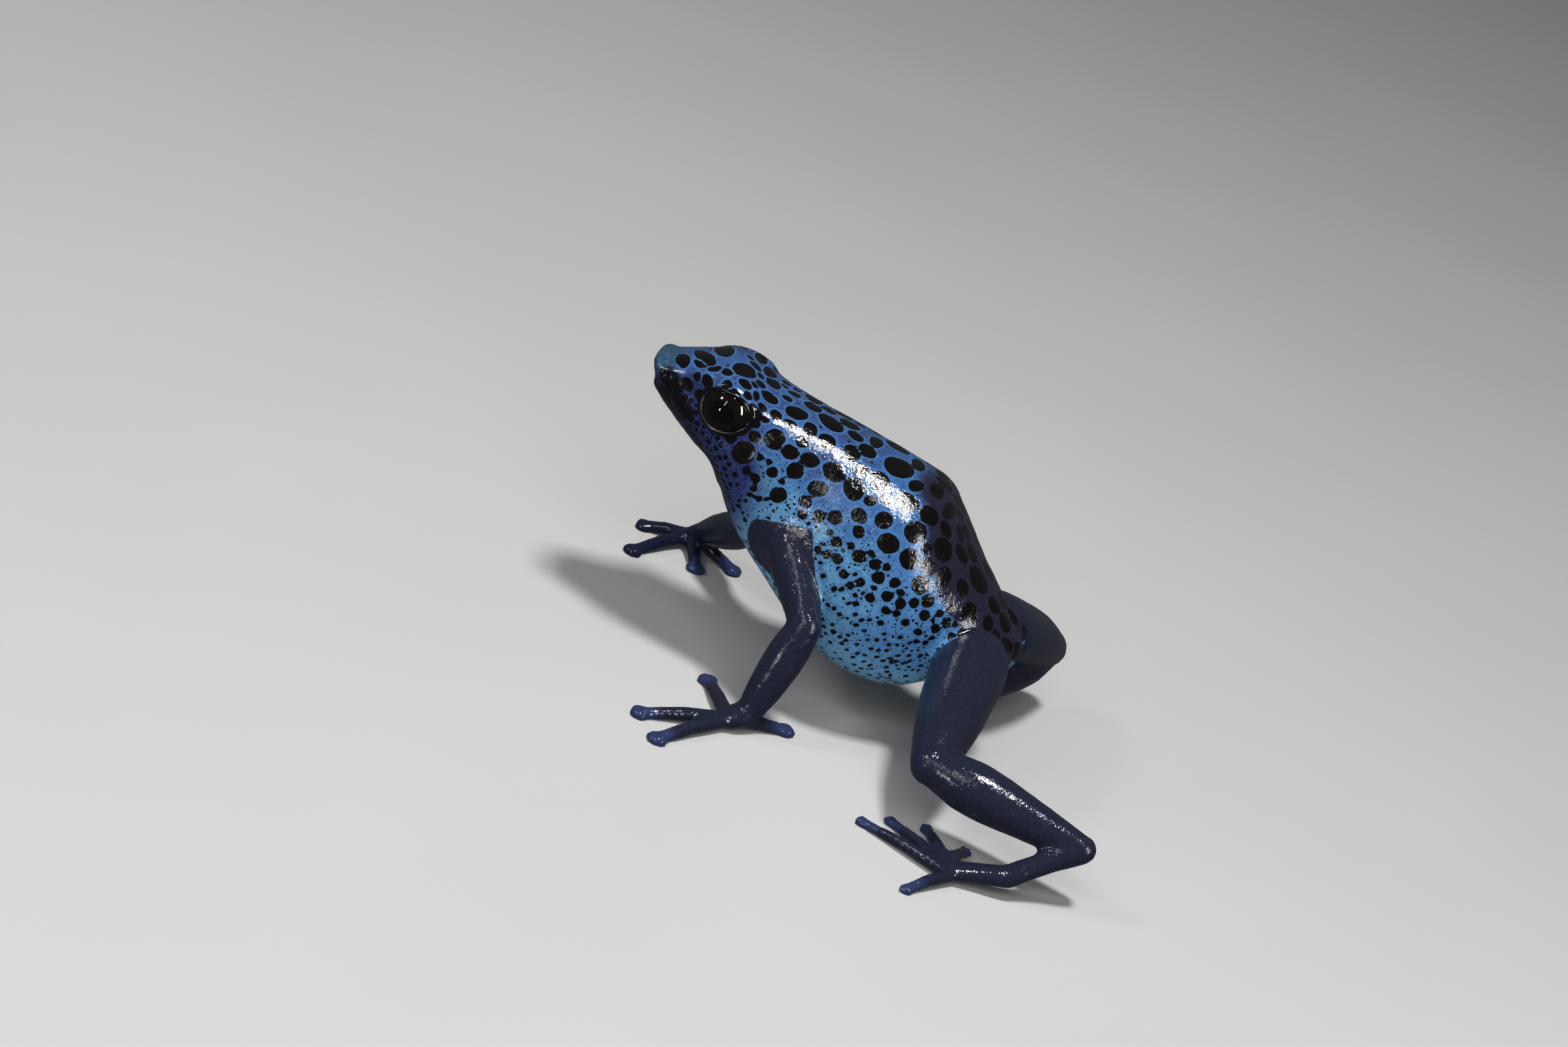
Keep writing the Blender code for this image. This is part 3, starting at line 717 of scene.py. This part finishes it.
# The main spots, read one by one: middle pixel, half length, half width in pixels and slope in degrees
spots = {
    "crown": (
        (1023, 538, 10, 9, 25), (1056, 534, 27, 8, 30), (1085, 524, 14, 6, 5), (1050, 545, 10, 5, 25),
        (1116, 555, 18, 9, 20), (1140, 537, 10, 6, 40), (1154, 558, 11, 6, 40), (1159, 574, 12, 6, 35),
        (1153, 595, 14, 6, 40), (1133, 593, 7, 4, 85)),
    "cheek": ((1114, 678, 17, 16, 0), (1161, 658, 15, 15, 0), (1157, 707, 8, 8, 0)),
    "back": (
        (1194, 618, 17, 8, 20), (1245, 633, 21, 8, 35), (1214, 643, 11, 9, 60),
        (1238, 662, 14, 12, 35), (1276, 678, 13, 11, 50), (1300, 675, 14, 8, 35), (1313, 662, 10, 7, 25),
        (1347, 700, 23, 13, 25), (1376, 696, 11, 7, 40), (1373, 727, 11, 8, 5), (1404, 735, 12, 9, 60)),
    "flank": (
        (1191, 705, 12, 12, 0), (1213, 689, 14, 10, 20), (1225, 732, 15, 11, 10), (1166, 741, 12, 11, 0),
        (1280, 732, 17, 15, 70), (1251, 775, 10, 10, 0), (1324, 779, 13, 12, 0), (1286, 796, 10, 8, 80),
        (1287, 833, 10, 9, 20), (1372, 797, 16, 16, 0)),
    "rump": (
        (1423, 765, 13, 9, -75), (1413, 823, 18, 13, 80), (1466, 868, 22, 10, 65), (1442, 881, 13, 8, 80),
        (1424, 911, 10, 6, 85), (1480, 934, 11, 7, 90), (1506, 932, 15, 7, 80)),
}

# Sizes in mm of the spots scattered between the main ones, by place on the body
scatter = {
    "seed": 11,
    "tries": 12000,
    "channel": 0.2,
    "grow": 0.1,
    "passes": (1.0, 0.8, 0.62, 0.48, 0.36, 0.25),
    "backRise": 0.45,
    "sideRise": -0.15,
    "backRadius": (0.35, 0.95),
    "headRadius": (0.2, 0.5),
    "sideRadius": (0.12, 0.6),
    "rumpRadius": (0.4, 0.85),
    "bellyRadius": (0.1, 0.2),
    "longest": 2.0,
}


def spotFromSight(surface, row):
    # an oval on the skin from an oval in the picture
    x, y, long, wide, slope = row
    c, d = math.cos(math.radians(slope)), math.sin(math.radians(slope))
    centre, normal = surface.seen(x, y)
    if centre is None:
        return None
    axes = []
    for dx, dy, size in ((c, d, long), (-d, c, wide)):
        steps = []
        for sign in (1, -1):
            end = surface.seen(x + sign * dx * size, y + sign * dy * size)[0]
            if end is not None and (end - centre).length < 3 * scatter["longest"]:
                steps.append((end - centre) * sign)
        if not steps:
            return None
        axis = sum(steps, Vector()) / len(steps)
        axis -= normal * axis.dot(normal)
        if axis.length > scatter["longest"]:
            axis *= scatter["longest"] / axis.length
        axes.append(axis)
    return centre, normal, axes[0], axes[1]


def radiusRange(s, rise, limbShare):
    if limbShare > 0.4 or s < 2.5:
        return None
    if s < 12:
        return scatter["headRadius"] if rise > 0.2 else scatter["bellyRadius"]
    if s > 31 and rise > scatter["backRise"]:
        return scatter["rumpRadius"]
    if rise > scatter["backRise"]:
        return scatter["backRadius"]
    if rise > scatter["sideRise"]:
        # smaller towards the belly
        low, high = scatter["sideRadius"]
        share = (rise - scatter["sideRise"]) / (scatter["backRise"] - scatter["sideRise"])
        return low, low + (high - low) * share
    return scatter["bellyRadius"]


def scatterSpots(skin, surface, placed):
    # fills the skin between the main spots with others that keep a channel between them
    random.seed(scatter["seed"])
    mesh = skin.data
    co, no = pointsOf(mesh), normalsOf(mesh)
    outside, rise, s = trunkOutside(co)
    limbShare = limbNearness(co) * smoothstep(0.2, 0.9, outside)
    order = random.sample(range(len(co)), scatter["tries"])
    centres = [np.array(p[0]) for p in placed]
    sizes = [max(p[2].length, p[3].length) for p in placed]
    forward = Vector((math.cos(body["pitch"]), 0, -math.sin(body["pitch"])))
    found = list(placed)
    for level in scatter["passes"]:
        for i in order:
            band = radiusRange(s[i], rise[i], limbShare[i])
            if band is None:
                continue
            radius = band[0] + (band[1] - band[0]) * level * random.uniform(0.75, 1.0)
            if radius < 0.25 and random.random() < 0.5:
                continue
            gaps = np.linalg.norm(np.array(centres) - co[i], axis=1) - np.array(sizes)
            if gaps.min() < radius + scatter["channel"]:
                continue
            point, normal = Vector(co[i]), Vector(no[i])
            length = radius * random.uniform(1.0, 1.35)
            along = (forward + Vector((0, random.uniform(-0.5, 0.5), 0)))
            along = (along - normal * along.dot(normal)).normalized()
            across = normal.cross(along)
            found.append((point, normal, along * length, across * radius))
            centres.append(co[i])
            sizes.append(length)
    return found


def spotField(co, found, grow=0.0, channel=0.0):
    # signed distance to the nearest spot's edge, in mm, above 0 inside; neighbours keep a channel
    tree = KDTree(len(co))
    for i, point in enumerate(co):
        tree.insert(point, i)
    tree.balance()
    field = np.full(len(co), -2.0)
    second = np.full(len(co), -2.0)
    for centre, normal, a, b in found:
        reach = max(a.length, b.length) + 0.9
        near = np.array([i for _, i, _ in tree.find_range(centre, reach)])
        if len(near) == 0:
            continue
        d = co[near] - np.array(centre)
        lift = d @ np.array(normal)
        gram = np.array(((a.dot(a), a.dot(b)), (a.dot(b), b.dot(b))))
        uv = np.linalg.solve(gram, np.stack((d @ np.array(a), d @ np.array(b))))
        share = np.sqrt((uv ** 2).sum(0)) + 1e-6
        length = np.linalg.norm(uv[0][:, None] * np.array(a) + uv[1][:, None] * np.array(b), axis=1)
        value = length * (1 / share - 1)
        value = np.where(share < 0.05, min(a.length, b.length), value)
        value = np.where(np.abs(lift) < 1.2, value, -2.0)
        second[near] = np.maximum(second[near], np.minimum(field[near], value))
        field[near] = np.maximum(field[near], value)
    return np.minimum(field + grow, 0.5 * (field - second - channel))


def setValue(mesh, name, values):
    layer = mesh.attributes.new(name, "FLOAT", "POINT")
    layer.data.foreach_set("value", np.asarray(values, np.float32))


marks = {
    # dark patches and pale ones: middle pixel, half length, half width, slope
    "snoutPatch": ((1006, 574, 12, 26, -28), (1022, 606, 9, 30, -32), (998, 600, 5, 24, -22)),
    "eyeCorner": ((1128, 620, 17, 14, 25),),
    "snoutPale": ((1000, 533, 17, 15, 0),),
}

# Height over the axis under which the face is near black, by distance behind the snout
faceMask = ((0, 1.4), (2, 1.2), (4, 0.6), (6.5, 0.0), (8.5, -0.9), (10.5, -2.2), (12.5, -4.5), (14, -9))

# The arms are navy up to a slanting line on the shoulder: place and height over the axis
armTop = ((13, -5.2), (15, -3.8), (17, -2.4), (20, -0.4), (23, 0.8))


def patchField(surface, co, rows):
    found = [spotFromSight(surface, row) for row in rows]
    found = [f for f in found if f]
    mirror = []
    for centre, normal, a, b in found:
        flip = Vector((1, -1, 1))
        mirror.append((centre * flip, normal * flip, a * flip, b * flip))
    return spotField(co, found + mirror)


def markSkin(skin):
    # colour regions, kept as values on the skin's points
    mesh = skin.data
    surface = SkinSurface(skin)
    co = pointsOf(mesh)
    outside, rise, s = trunkOutside(co)
    near = limbNearness(co)
    limbShare = near * smoothstep(0.15, 0.8, outside) * smoothstep(body["neck"] - 2, body["neck"], s)
    low = smoothstep(0, 1, (6 - co[:, 2]) / 3) * near
    limbShare = np.maximum(limbShare, low)
    under = smoothstep(-0.25, 0.25, np.interp(s, *zip(*armTop)) - bodyCoords(co)[2])
    for side in joints:
        t, distance = alongBone(co, joints[side]["shoulder"], joints[side]["elbow"])
        wide = np.interp(t, *zip(*[(row[0], row[2]) for row in limbs["upperArm"]]))
        arm = 1 - smoothstep(-0.3, 0.0, distance / wide - 1.6 + 0.9 * np.minimum(t, 0.5))
        limbShare = np.where(arm > 0, np.maximum(limbShare, arm) * under, limbShare)
    placed = []
    for rows in spots.values():
        placed += [p for p in (spotFromSight(surface, row) for row in rows) if p]
    found = scatterSpots(skin, surface, placed)
    print("spots", len(placed), "by sight,", len(found) - len(placed), "scattered")
    field = spotField(co, found, scatter["grow"], scatter["channel"])
    field = np.where(limbShare > 0.6, -2.0, field)
    setValue(mesh, "spot", field)
    setValue(mesh, "limb", limbShare)
    setValue(mesh, "rise", rise)
    setValue(mesh, "station", s)
    tips = np.zeros(len(co))
    for side in joints:
        for kind, root, knuckle, pad in digitsOf(side):
            distance = np.linalg.norm(co - np.array(pad), axis=1)
            tips = np.maximum(tips, 1 - smoothstep(1.0, 2.6, distance))
    setValue(mesh, "tip", tips)
    level, lowest = np.interp(s, *zip(*faceMask)), faceMask[-1]
    setValue(mesh, "mask", np.where(s < lowest[0], level - bodyCoords(co)[2], lowest[1]))
    # distance from the lids' edges, and the lower front share of the lids, where the painted rim highlight goes
    gaps, lower = np.full(len(co), 9.0), np.zeros(len(co))
    for side in joints:
        gap, d, length = fromMargin(co, side)
        front = -d @ np.array(eyeAxes(side)[1]) / length
        under = -d @ np.array(eyeAxes(side)[2]) / length * (1 if side == "left" else -1)
        lower = np.where(gap < gaps, smoothstep(0.0, 0.5, 0.5 * front + under), lower)
        gaps = np.minimum(gaps, gap)
    setValue(mesh, "lid", gaps)
    setValue(mesh, "lidLower", lower)
    for name, rows in marks.items():
        setValue(mesh, name, patchField(surface, co, rows))
    return found


def makeEye(side):
    # a ball, with the pupil's oval kept as a value on its points
    centre = eyeCentre(side)
    outward, longAxis, upright = eyeAxes(side)
    radius = face["eyeRadius"]
    bm = ball(Vector(), (radius, radius, radius), None, 48)
    turn = Matrix((longAxis, upright, outward)).transposed().to_4x4()
    bmesh.ops.transform(bm, matrix=Matrix.Translation(centre) @ turn, verts=bm.verts)
    item = addPiece(side + "Eye", bm)
    co = pointsOf(item.data)
    local = (co - np.array(centre)) @ np.array((longAxis, upright, outward)).T
    setValue(item.data, "pupil", np.sqrt((local[:, 0] / 1.25) ** 2 + (local[:, 1] / 0.95) ** 2)
             + np.where(local[:, 2] < 0, 9, 0))
    return item


def toRow(item):
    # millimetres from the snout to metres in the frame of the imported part
    low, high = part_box("left_eye")
    shift = (low + high) * 0.5 - eyeCentre("left") * 0.001
    item.data.transform(Matrix.Translation(shift) @ Matrix.Scale(0.001, 4))
    item.data.shade_smooth()
    return shift


def tone(red, green, blue):
    # a colour read off a screen, as linear light
    return tuple((c / 255 / 12.92) if c < 11 else ((c / 255 + 0.055) / 1.055) ** 2.4
                 for c in (red, green, blue)) + (1.0,)


class Wiring:
    # short ways to place and join shader nodes
    def __init__(self, tree):
        self.tree = tree

    def add(self, kind, **settings):
        node = self.tree.nodes.new(kind)
        for key, value in settings.items():
            setattr(node, key, value)
        return node

    def feed(self, socket, value):
        if isinstance(value, bpy.types.NodeSocket):
            self.tree.links.new(value, socket)
        else:
            socket.default_value = value

    def sum(self, operation, a, b=0.0, c=0.0, clamp=False):
        node = self.add("ShaderNodeMath", operation=operation, use_clamp=clamp)
        for socket, value in zip(node.inputs, (a, b, c)):
            self.feed(socket, value)
        return node.outputs[0]

    def step(self, value, low, high, bottom=0.0, top=1.0):
        node = self.add("ShaderNodeMapRange", interpolation_type="SMOOTHSTEP", clamp=True)
        for key, given in (("Value", value), ("From Min", low), ("From Max", high),
                           ("To Min", bottom), ("To Max", top)):
            self.feed(node.inputs[key], given)
        return node.outputs[0]

    def mix(self, share, a, b):
        node = self.add("ShaderNodeMix", data_type="RGBA", clamp_factor=True)
        self.feed(node.inputs[0], share)
        self.feed(node.inputs[6], a)
        self.feed(node.inputs[7], b)
        return node.outputs[2]

    def value(self, name):
        return self.add("ShaderNodeAttribute", attribute_name=name).outputs["Fac"]

    def millimetres(self):
        coords = self.add("ShaderNodeTexCoord").outputs["Object"]
        mapping = self.add("ShaderNodeMapping")
        mapping.inputs["Scale"].default_value = (1000, 1000, 1000)
        self.feed(mapping.inputs["Vector"], coords)
        return mapping.outputs[0]

    def noise(self, coords, scale, detail=2.0, roughness=0.5):
        node = self.add("ShaderNodeTexNoise")
        self.feed(node.inputs["Vector"], coords)
        node.inputs["Scale"].default_value = scale
        node.inputs["Detail"].default_value = detail
        node.inputs["Roughness"].default_value = roughness
        return node.outputs["Fac"]

    def cells(self, coords, scale, feature="F1"):
        node = self.add("ShaderNodeTexVoronoi", feature=feature)
        self.feed(node.inputs["Vector"], coords)
        node.inputs["Scale"].default_value = scale
        return node

    def most(self, *values):
        result = values[0]
        for value in values[1:]:
            result = self.sum("MAXIMUM", result, value)
        return result


def newMaterial(name):
    material = bpy.data.materials.new(name)
    material.use_nodes = True
    shader = material.node_tree.nodes["Principled BSDF"]
    return material, Wiring(material.node_tree), shader


def dotsGroup():
    # round dots of mixed sizes: share of a cell that a dot fills, and how many cells have one
    group = bpy.data.node_groups.new("skinDots", "ShaderNodeTree")
    for name, kind in (("Place", "NodeSocketVector"), ("Scale", "NodeSocketFloat"),
                       ("Size", "NodeSocketFloat"), ("Share", "NodeSocketFloat")):
        group.interface.new_socket(name, in_out="INPUT", socket_type=kind)
    group.interface.new_socket("Dots", in_out="OUTPUT", socket_type="NodeSocketFloat")
    w = Wiring(group)
    given = w.add("NodeGroupInput").outputs
    cells = w.cells(given["Place"], 1.0)
    w.feed(cells.inputs["Scale"], given["Scale"])
    split = w.add("ShaderNodeSeparateColor")
    w.feed(split.inputs[0], cells.outputs["Color"])
    reach = w.sum("MULTIPLY", given["Size"], w.sum("MULTIPLY_ADD", split.outputs[0], 0.7, 0.5))
    inside = w.step(w.sum("SUBTRACT", reach, cells.outputs["Distance"]), -0.03, 0.05)
    chosen = w.sum("LESS_THAN", split.outputs[1], given["Share"])
    out = w.add("NodeGroupOutput")
    w.feed(out.inputs[0], w.sum("MULTIPLY", inside, chosen))
    return group


skinLook = {
    "azure": tone(56, 98, 152),
    "flank": tone(92, 146, 188),
    "belly": tone(104, 162, 204),
    "underside": tone(86, 124, 144),
    "rear": tone(86, 142, 202),
    "cheek": tone(42, 54, 104),
    "throat": tone(30, 40, 66),
    "crown": tone(52, 64, 108),
    "rump": tone(34, 34, 52),
    "limb": tone(28, 30, 46),
    "limbLight": tone(46, 50, 72),
    "tip": tone(48, 58, 98),
    "spot": tone(10, 7, 6),
    "pale": tone(60, 94, 118),
    "patch": tone(9, 8, 12),
    "mask": tone(20, 25, 44),
    "stipple": tone(14, 13, 26),
    "halo": tone(70, 118, 174),
    # painted highlight: a pale line along the wet lower front lid rim
    "paintedRimHighlight": tone(74, 66, 70),
    "grain": 3.1,
    "grainDepth": 0.000012,
    "fineDepth": 0.000005,
    "waveDepth": 0.00006,
    "roughness": (0.07, 0.17),
    # cells in a millimetre, size of a dot in its cell, share of cells with one
    "dots": ((1.05, 0.27, 0.7), (2.0, 0.3, 0.85), (3.9, 0.3, 0.8)),
}


def groundColour(w, place, drift, height, rump, front):
    # colour under the spots, by region of the body
    look = skinLook
    station, limbShare = w.value("station"), w.value("limb")
    mottle = w.noise(place, 5.5, 3.0, 0.6)
    ground = w.mix(w.step(height, 0.2, 0.6), look["flank"], look["azure"])
    ground = w.mix(w.step(height, -0.15, -0.6), ground, look["belly"])
    ground = w.mix(w.step(height, -0.72, -0.98), ground, look["underside"])
    rear = w.sum("MULTIPLY", w.step(station, 27.0, 33.0), w.step(height, -0.7, -0.2))
    ground = w.mix(rear, ground, look["rear"])
    crown = w.sum("MULTIPLY", w.step(height, 0.45, 0.8), w.step(drift, 0.35, 0.6, 0.35, 0.9))
    ground = w.mix(w.sum("MULTIPLY", crown, w.step(station, 25.0, 19.0)), ground, look["crown"])
    ground = w.mix(front, ground, look["cheek"])
    under = w.sum("MULTIPLY", w.step(station, 15.0, 11.0), w.step(height, -0.35, -0.8))
    ground = w.mix(under, ground, look["throat"])
    ground = w.mix(rump, ground, look["rump"])
    flesh = w.mix(w.step(mottle, 0.35, 0.8, 0.0, 0.6), look["limb"], look["limbLight"])
    flesh = w.mix(w.sum("MULTIPLY", w.value("tip"), 0.8), flesh, look["tip"])
    share = w.sum("MULTIPLY_ADD", drift, 0.3, w.sum("ADD", limbShare, -0.15))
    ground = w.mix(w.step(share, 0.25, 0.6), ground, flesh)
    return w.mix(w.sum("MULTIPLY", w.step(w.value("snoutPale"), -0.9, 0.3), 0.8), ground, look["pale"])


def skinMaterial():
    material, w, shader = newMaterial("wetSpottedSkin")
    look = skinLook
    place = w.millimetres()
    rise, station, limbShare = w.value("rise"), w.value("station"), w.value("limb")
    drift = w.noise(place, 0.35, 2.0)
    waver = w.sum("MULTIPLY_ADD", drift, 0.5, -0.25)
    height = w.sum("ADD", rise, waver)
    behind = w.sum("MULTIPLY_ADD", rise, 19.0, station)
    rump = w.step(w.sum("MULTIPLY_ADD", drift, 3.0, behind), 44.6, 47.4)
    upper = w.step(station, 10.0, 15.0, 0.4, 0.0)
    front = w.sum("MULTIPLY", w.step(station, 17.5, 13.0),
                  w.step(w.sum("SUBTRACT", height, upper), 0.5, 0.05))
    ground = groundColour(w, place, drift, height, rump, front)

    # a paler halo round each spot
    wobble = w.sum("MULTIPLY_ADD", w.noise(place, 1.7, 2.0), 0.22, -0.11)
    edge = w.sum("ADD", w.value("spot"), wobble)
    halo = w.sum("MULTIPLY", w.step(edge, -0.32, -0.1), w.step(height, -0.4, 0.1))
    halo = w.sum("MULTIPLY", halo, w.sum("SUBTRACT", 1.0, w.most(rump, front)))
    ground = w.mix(w.sum("MULTIPLY", halo, 0.6), ground, look["halo"])

    # dots between the spots, densest on the flank, and fine stipple
    bare = w.sum("SUBTRACT", 1.0, w.step(limbShare, 0.2, 0.5))
    spot = w.step(edge, -0.03, 0.05)
    clear = w.sum("MULTIPLY", w.step(edge, -0.04, -0.2), bare)
    band = w.sum("MULTIPLY", w.step(height, -0.95, -0.2), w.step(height, 0.7, 0.3))
    band = w.sum("MULTIPLY", band, w.step(station, 12.0, 16.0))
    group = dotsGroup()
    layers = []
    for scale, size, share in look["dots"]:
        dots = w.add("ShaderNodeGroup", node_tree=group)
        w.feed(dots.inputs["Place"], place)
        dots.inputs["Scale"].default_value = scale
        w.feed(dots.inputs["Size"], w.sum("MULTIPLY", w.sum("MULTIPLY_ADD", band, 0.45, 0.55), size))
        dots.inputs["Share"].default_value = share
        layers.append(w.sum("MULTIPLY", dots.outputs[0], clear))
    dots = w.most(*layers)
    speckled = w.sum("MULTIPLY", w.step(station, 17.0, 11.0), w.step(height, 0.75, 0.2))
    speckled = w.most(speckled, w.step(w.value("snoutPale"), -0.9, 0.3))
    dusty = w.sum("MULTIPLY_ADD", speckled, 0.6, 0.25)
    stipple = w.step(w.noise(place, 6.0, 2.0, 0.7), 0.49, 0.6)
    stipple = w.sum("MULTIPLY", w.sum("MULTIPLY", stipple, dusty), bare)

    # near-black face, nostril patch, corner of the eye and lids, and a painted highlight along the lower lids' rim
    mask = w.step(w.sum("MULTIPLY_ADD", w.noise(place, 2.2, 4.0), 1.6, w.value("mask")), 0.3, 2.3)
    patch = w.step(w.sum("ADD", w.value("snoutPatch"), wobble), -0.35, 0.15)
    corner = w.step(w.sum("ADD", w.value("eyeCorner"), wobble), -0.05, 0.06)
    lid = w.step(w.sum("ADD", w.value("lid"), wobble), 0.46, 0.3)
    colour = w.mix(stipple, ground, look["stipple"])
    colour = w.mix(w.sum("MULTIPLY", mask, 0.93), colour, look["mask"])
    colour = w.mix(w.most(spot, dots, corner), colour, look["spot"])
    colour = w.mix(w.most(patch, lid), colour, look["patch"])
    # painted highlight: a thin pale line on the lower front lid edge, where the wet rim would catch the light
    rimHighlightShare = w.sum("MULTIPLY", w.step(w.value("lid"), 0.0, 0.04), w.step(w.value("lid"), 0.1, 0.06))
    rimHighlightShare = w.sum("MULTIPLY", rimHighlightShare, w.value("lidLower"))
    colour = w.mix(w.sum("MULTIPLY", rimHighlightShare, 0.6), colour, look["paintedRimHighlight"])
    w.feed(shader.inputs["Base Color"], colour)

    # fine grain, coarser on the flank than on the head
    grain = w.cells(place, look["grain"], "SMOOTH_F1").outputs["Distance"]
    coarse = w.step(station, 9.0, 16.0, 0.35, 1.0)
    raised = w.sum("MULTIPLY", w.sum("SUBTRACT", 1.0, grain), coarse)
    bump = w.add("ShaderNodeBump")
    bump.inputs["Strength"].default_value = 1.0
    bump.inputs["Distance"].default_value = look["grainDepth"]
    w.feed(bump.inputs["Height"], raised)
    wave = w.add("ShaderNodeBump")
    wave.inputs["Distance"].default_value = look["waveDepth"]
    w.feed(wave.inputs["Height"], w.sum("MULTIPLY", w.noise(place, 1.4, 3.0, 0.78), coarse))
    w.feed(bump.inputs["Normal"], wave.outputs[0])
    fine = w.add("ShaderNodeBump")
    fine.inputs["Distance"].default_value = look["fineDepth"]
    w.feed(fine.inputs["Height"], w.noise(place, 12.0, 2.0))
    w.feed(fine.inputs["Normal"], bump.outputs[0])
    w.feed(shader.inputs["Normal"], fine.outputs[0])
    low, high = look["roughness"]
    w.feed(shader.inputs["Roughness"], w.step(w.noise(place, 1.1, 3.0), 0.35, 0.7, low, high))
    shader.inputs["Specular IOR Level"].default_value = 0.5
    return material


def eyeMaterial():
    material, w, shader = newMaterial("wetEye")
    pupil = w.value("pupil")
    streak = w.noise(w.millimetres(), 6.0, 3.0)
    iris = w.mix(w.step(streak, 0.4, 0.7), tone(9, 6, 4), tone(19, 12, 8))
    colour = w.mix(w.step(pupil, 1.05, 0.95), iris, tone(3, 2, 2))
    colour = w.mix(w.step(pupil, 1.9, 2.2), colour, tone(8, 6, 5))
    w.feed(shader.inputs["Base Color"], colour)
    shader.inputs["Roughness"].default_value = 0.03
    shader.inputs["Specular IOR Level"].default_value = 0.55
    return material


studio = {
    "floorSize": 3.0,
    "floorTone": (0.56, 0.56, 0.55, 1),
    "world": (0.9, 0.95, 1.0, 1),
    "worldStrength": 0.07,
    # way round, height in degrees, distance, width, height of the lamp, radiance
    "lamps": {
        "overhead": (-66, 77, 0.42, 0.06, 0.06, 130.0),
        "rear": (-27, 26, 0.45, 0.06, 0.26, 24.0),
        "front": (-150, 42, 0.45, 0.06, 0.06, 22.0),
        "strip": (-114, 38, 0.45, 0.03, 0.16, 10.0),
        "low": (-122, 6, 0.45, 0.02, 0.07, 50.0),
        "fill": (-80, 36, 0.50, 0.30, 0.30, 3.4),
    },
    # the fill shows in no reflection, and these two only there
    "soft": ("fill",),
    "glare": ("rear", "low"),
}


def makeFloor():
    bm = bmesh.new()
    bmesh.ops.create_grid(bm, x_segments=2, y_segments=2, size=studio["floorSize"] / 2)
    floor = addPiece("floor", bm)
    material, w, shader = newMaterial("paleFloor")
    tint = w.step(w.noise(w.millimetres(), 0.02, 3.0), 0.3, 0.7, 0.97, 1.0)
    shade = w.add("ShaderNodeMix", data_type="RGBA", blend_type="MULTIPLY")
    shade.inputs[0].default_value = 1.0
    w.feed(shade.inputs[6], studio["floorTone"])
    w.feed(shade.inputs[7], tint)
    w.feed(shader.inputs["Base Color"], shade.outputs[2])
    shader.inputs["Roughness"].default_value = 0.7
    shader.inputs["Specular IOR Level"].default_value = 0.2
    floor.data.materials.append(material)
    return floor


def makeLights(target):
    for name, (around, height, distance, wide, high, radiance) in studio["lamps"].items():
        a, e = math.radians(around), math.radians(height)
        aim = Vector((math.cos(e) * math.cos(a), math.cos(e) * math.sin(a), math.sin(e)))
        lamp = bpy.data.lights.new(name, "AREA")
        lamp.shape = "RECTANGLE"
        lamp.size, lamp.size_y = wide, high
        lamp.energy = radiance * math.pi * wide * high
        item = bpy.data.objects.new(name, lamp)
        item.location = target + aim * distance
        item.rotation_euler = aim.to_track_quat("Z", "Y").to_euler()
        item.visible_glossy = name not in studio["soft"]
        item.visible_diffuse = name not in studio["glare"]
        bpy.context.scene.collection.objects.link(item)
    world = bpy.data.worlds.new("studio")
    world.use_nodes = True
    background = world.node_tree.nodes["Background"]
    background.inputs[0].default_value = studio["world"]
    background.inputs[1].default_value = studio["worldStrength"]
    bpy.context.scene.world = world
    bpy.context.scene.view_settings.view_transform = "Standard"


def makeCamera(shift):
    data = bpy.data.cameras.new("camera")
    data.lens, data.sensor_width = view["lens"], view["sensor"]
    data.clip_start, data.clip_end = 0.01, 10
    item = bpy.data.objects.new("camera", data)
    turn = Matrix((camera.right, camera.up, camera.back)).transposed().to_4x4()
    item.matrix_world = Matrix.Translation(camera.place * 0.001 + shift) @ turn
    bpy.context.scene.collection.objects.link(item)
    bpy.context.scene.camera = item


camera = Camera()
skin = growSkin()
blendJoints(skin)
print("skin grown", len(skin.data.vertices), "points")
refine(skin, fineZone)
refine(skin, lidZone)
layOnFloor(skin)
print("skin refined", len(skin.data.vertices), "points")
sculptSkin(skin)
formLids(skin)
triangles = sum(len(p.vertices) - 2 for p in skin.data.polygons)
print("skin formed", len(skin.data.vertices), "points", triangles, "triangles")
layOnFloor(skin)
markSkin(skin)
shift = toRow(skin)
skin.data.materials.clear()
skin.data.materials.append(skinMaterial())
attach(skin, "root")
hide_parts(*[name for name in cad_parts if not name.endswith("_eye")])

eyeLook = eyeMaterial()
for side in joints:
    eye = makeEye(side)
    toRow(eye)
    eye.data.materials.append(eyeLook)
    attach(eye, "root")
    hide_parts(side + "_eye")
print("eyes set")

floor = makeFloor()
floor.visible_glossy = False  # the wet skin stays free of the floor's glare
makeLights(Vector((0, 0, 0.012)))
makeCamera(shift)
print("floor, lights and camera set")
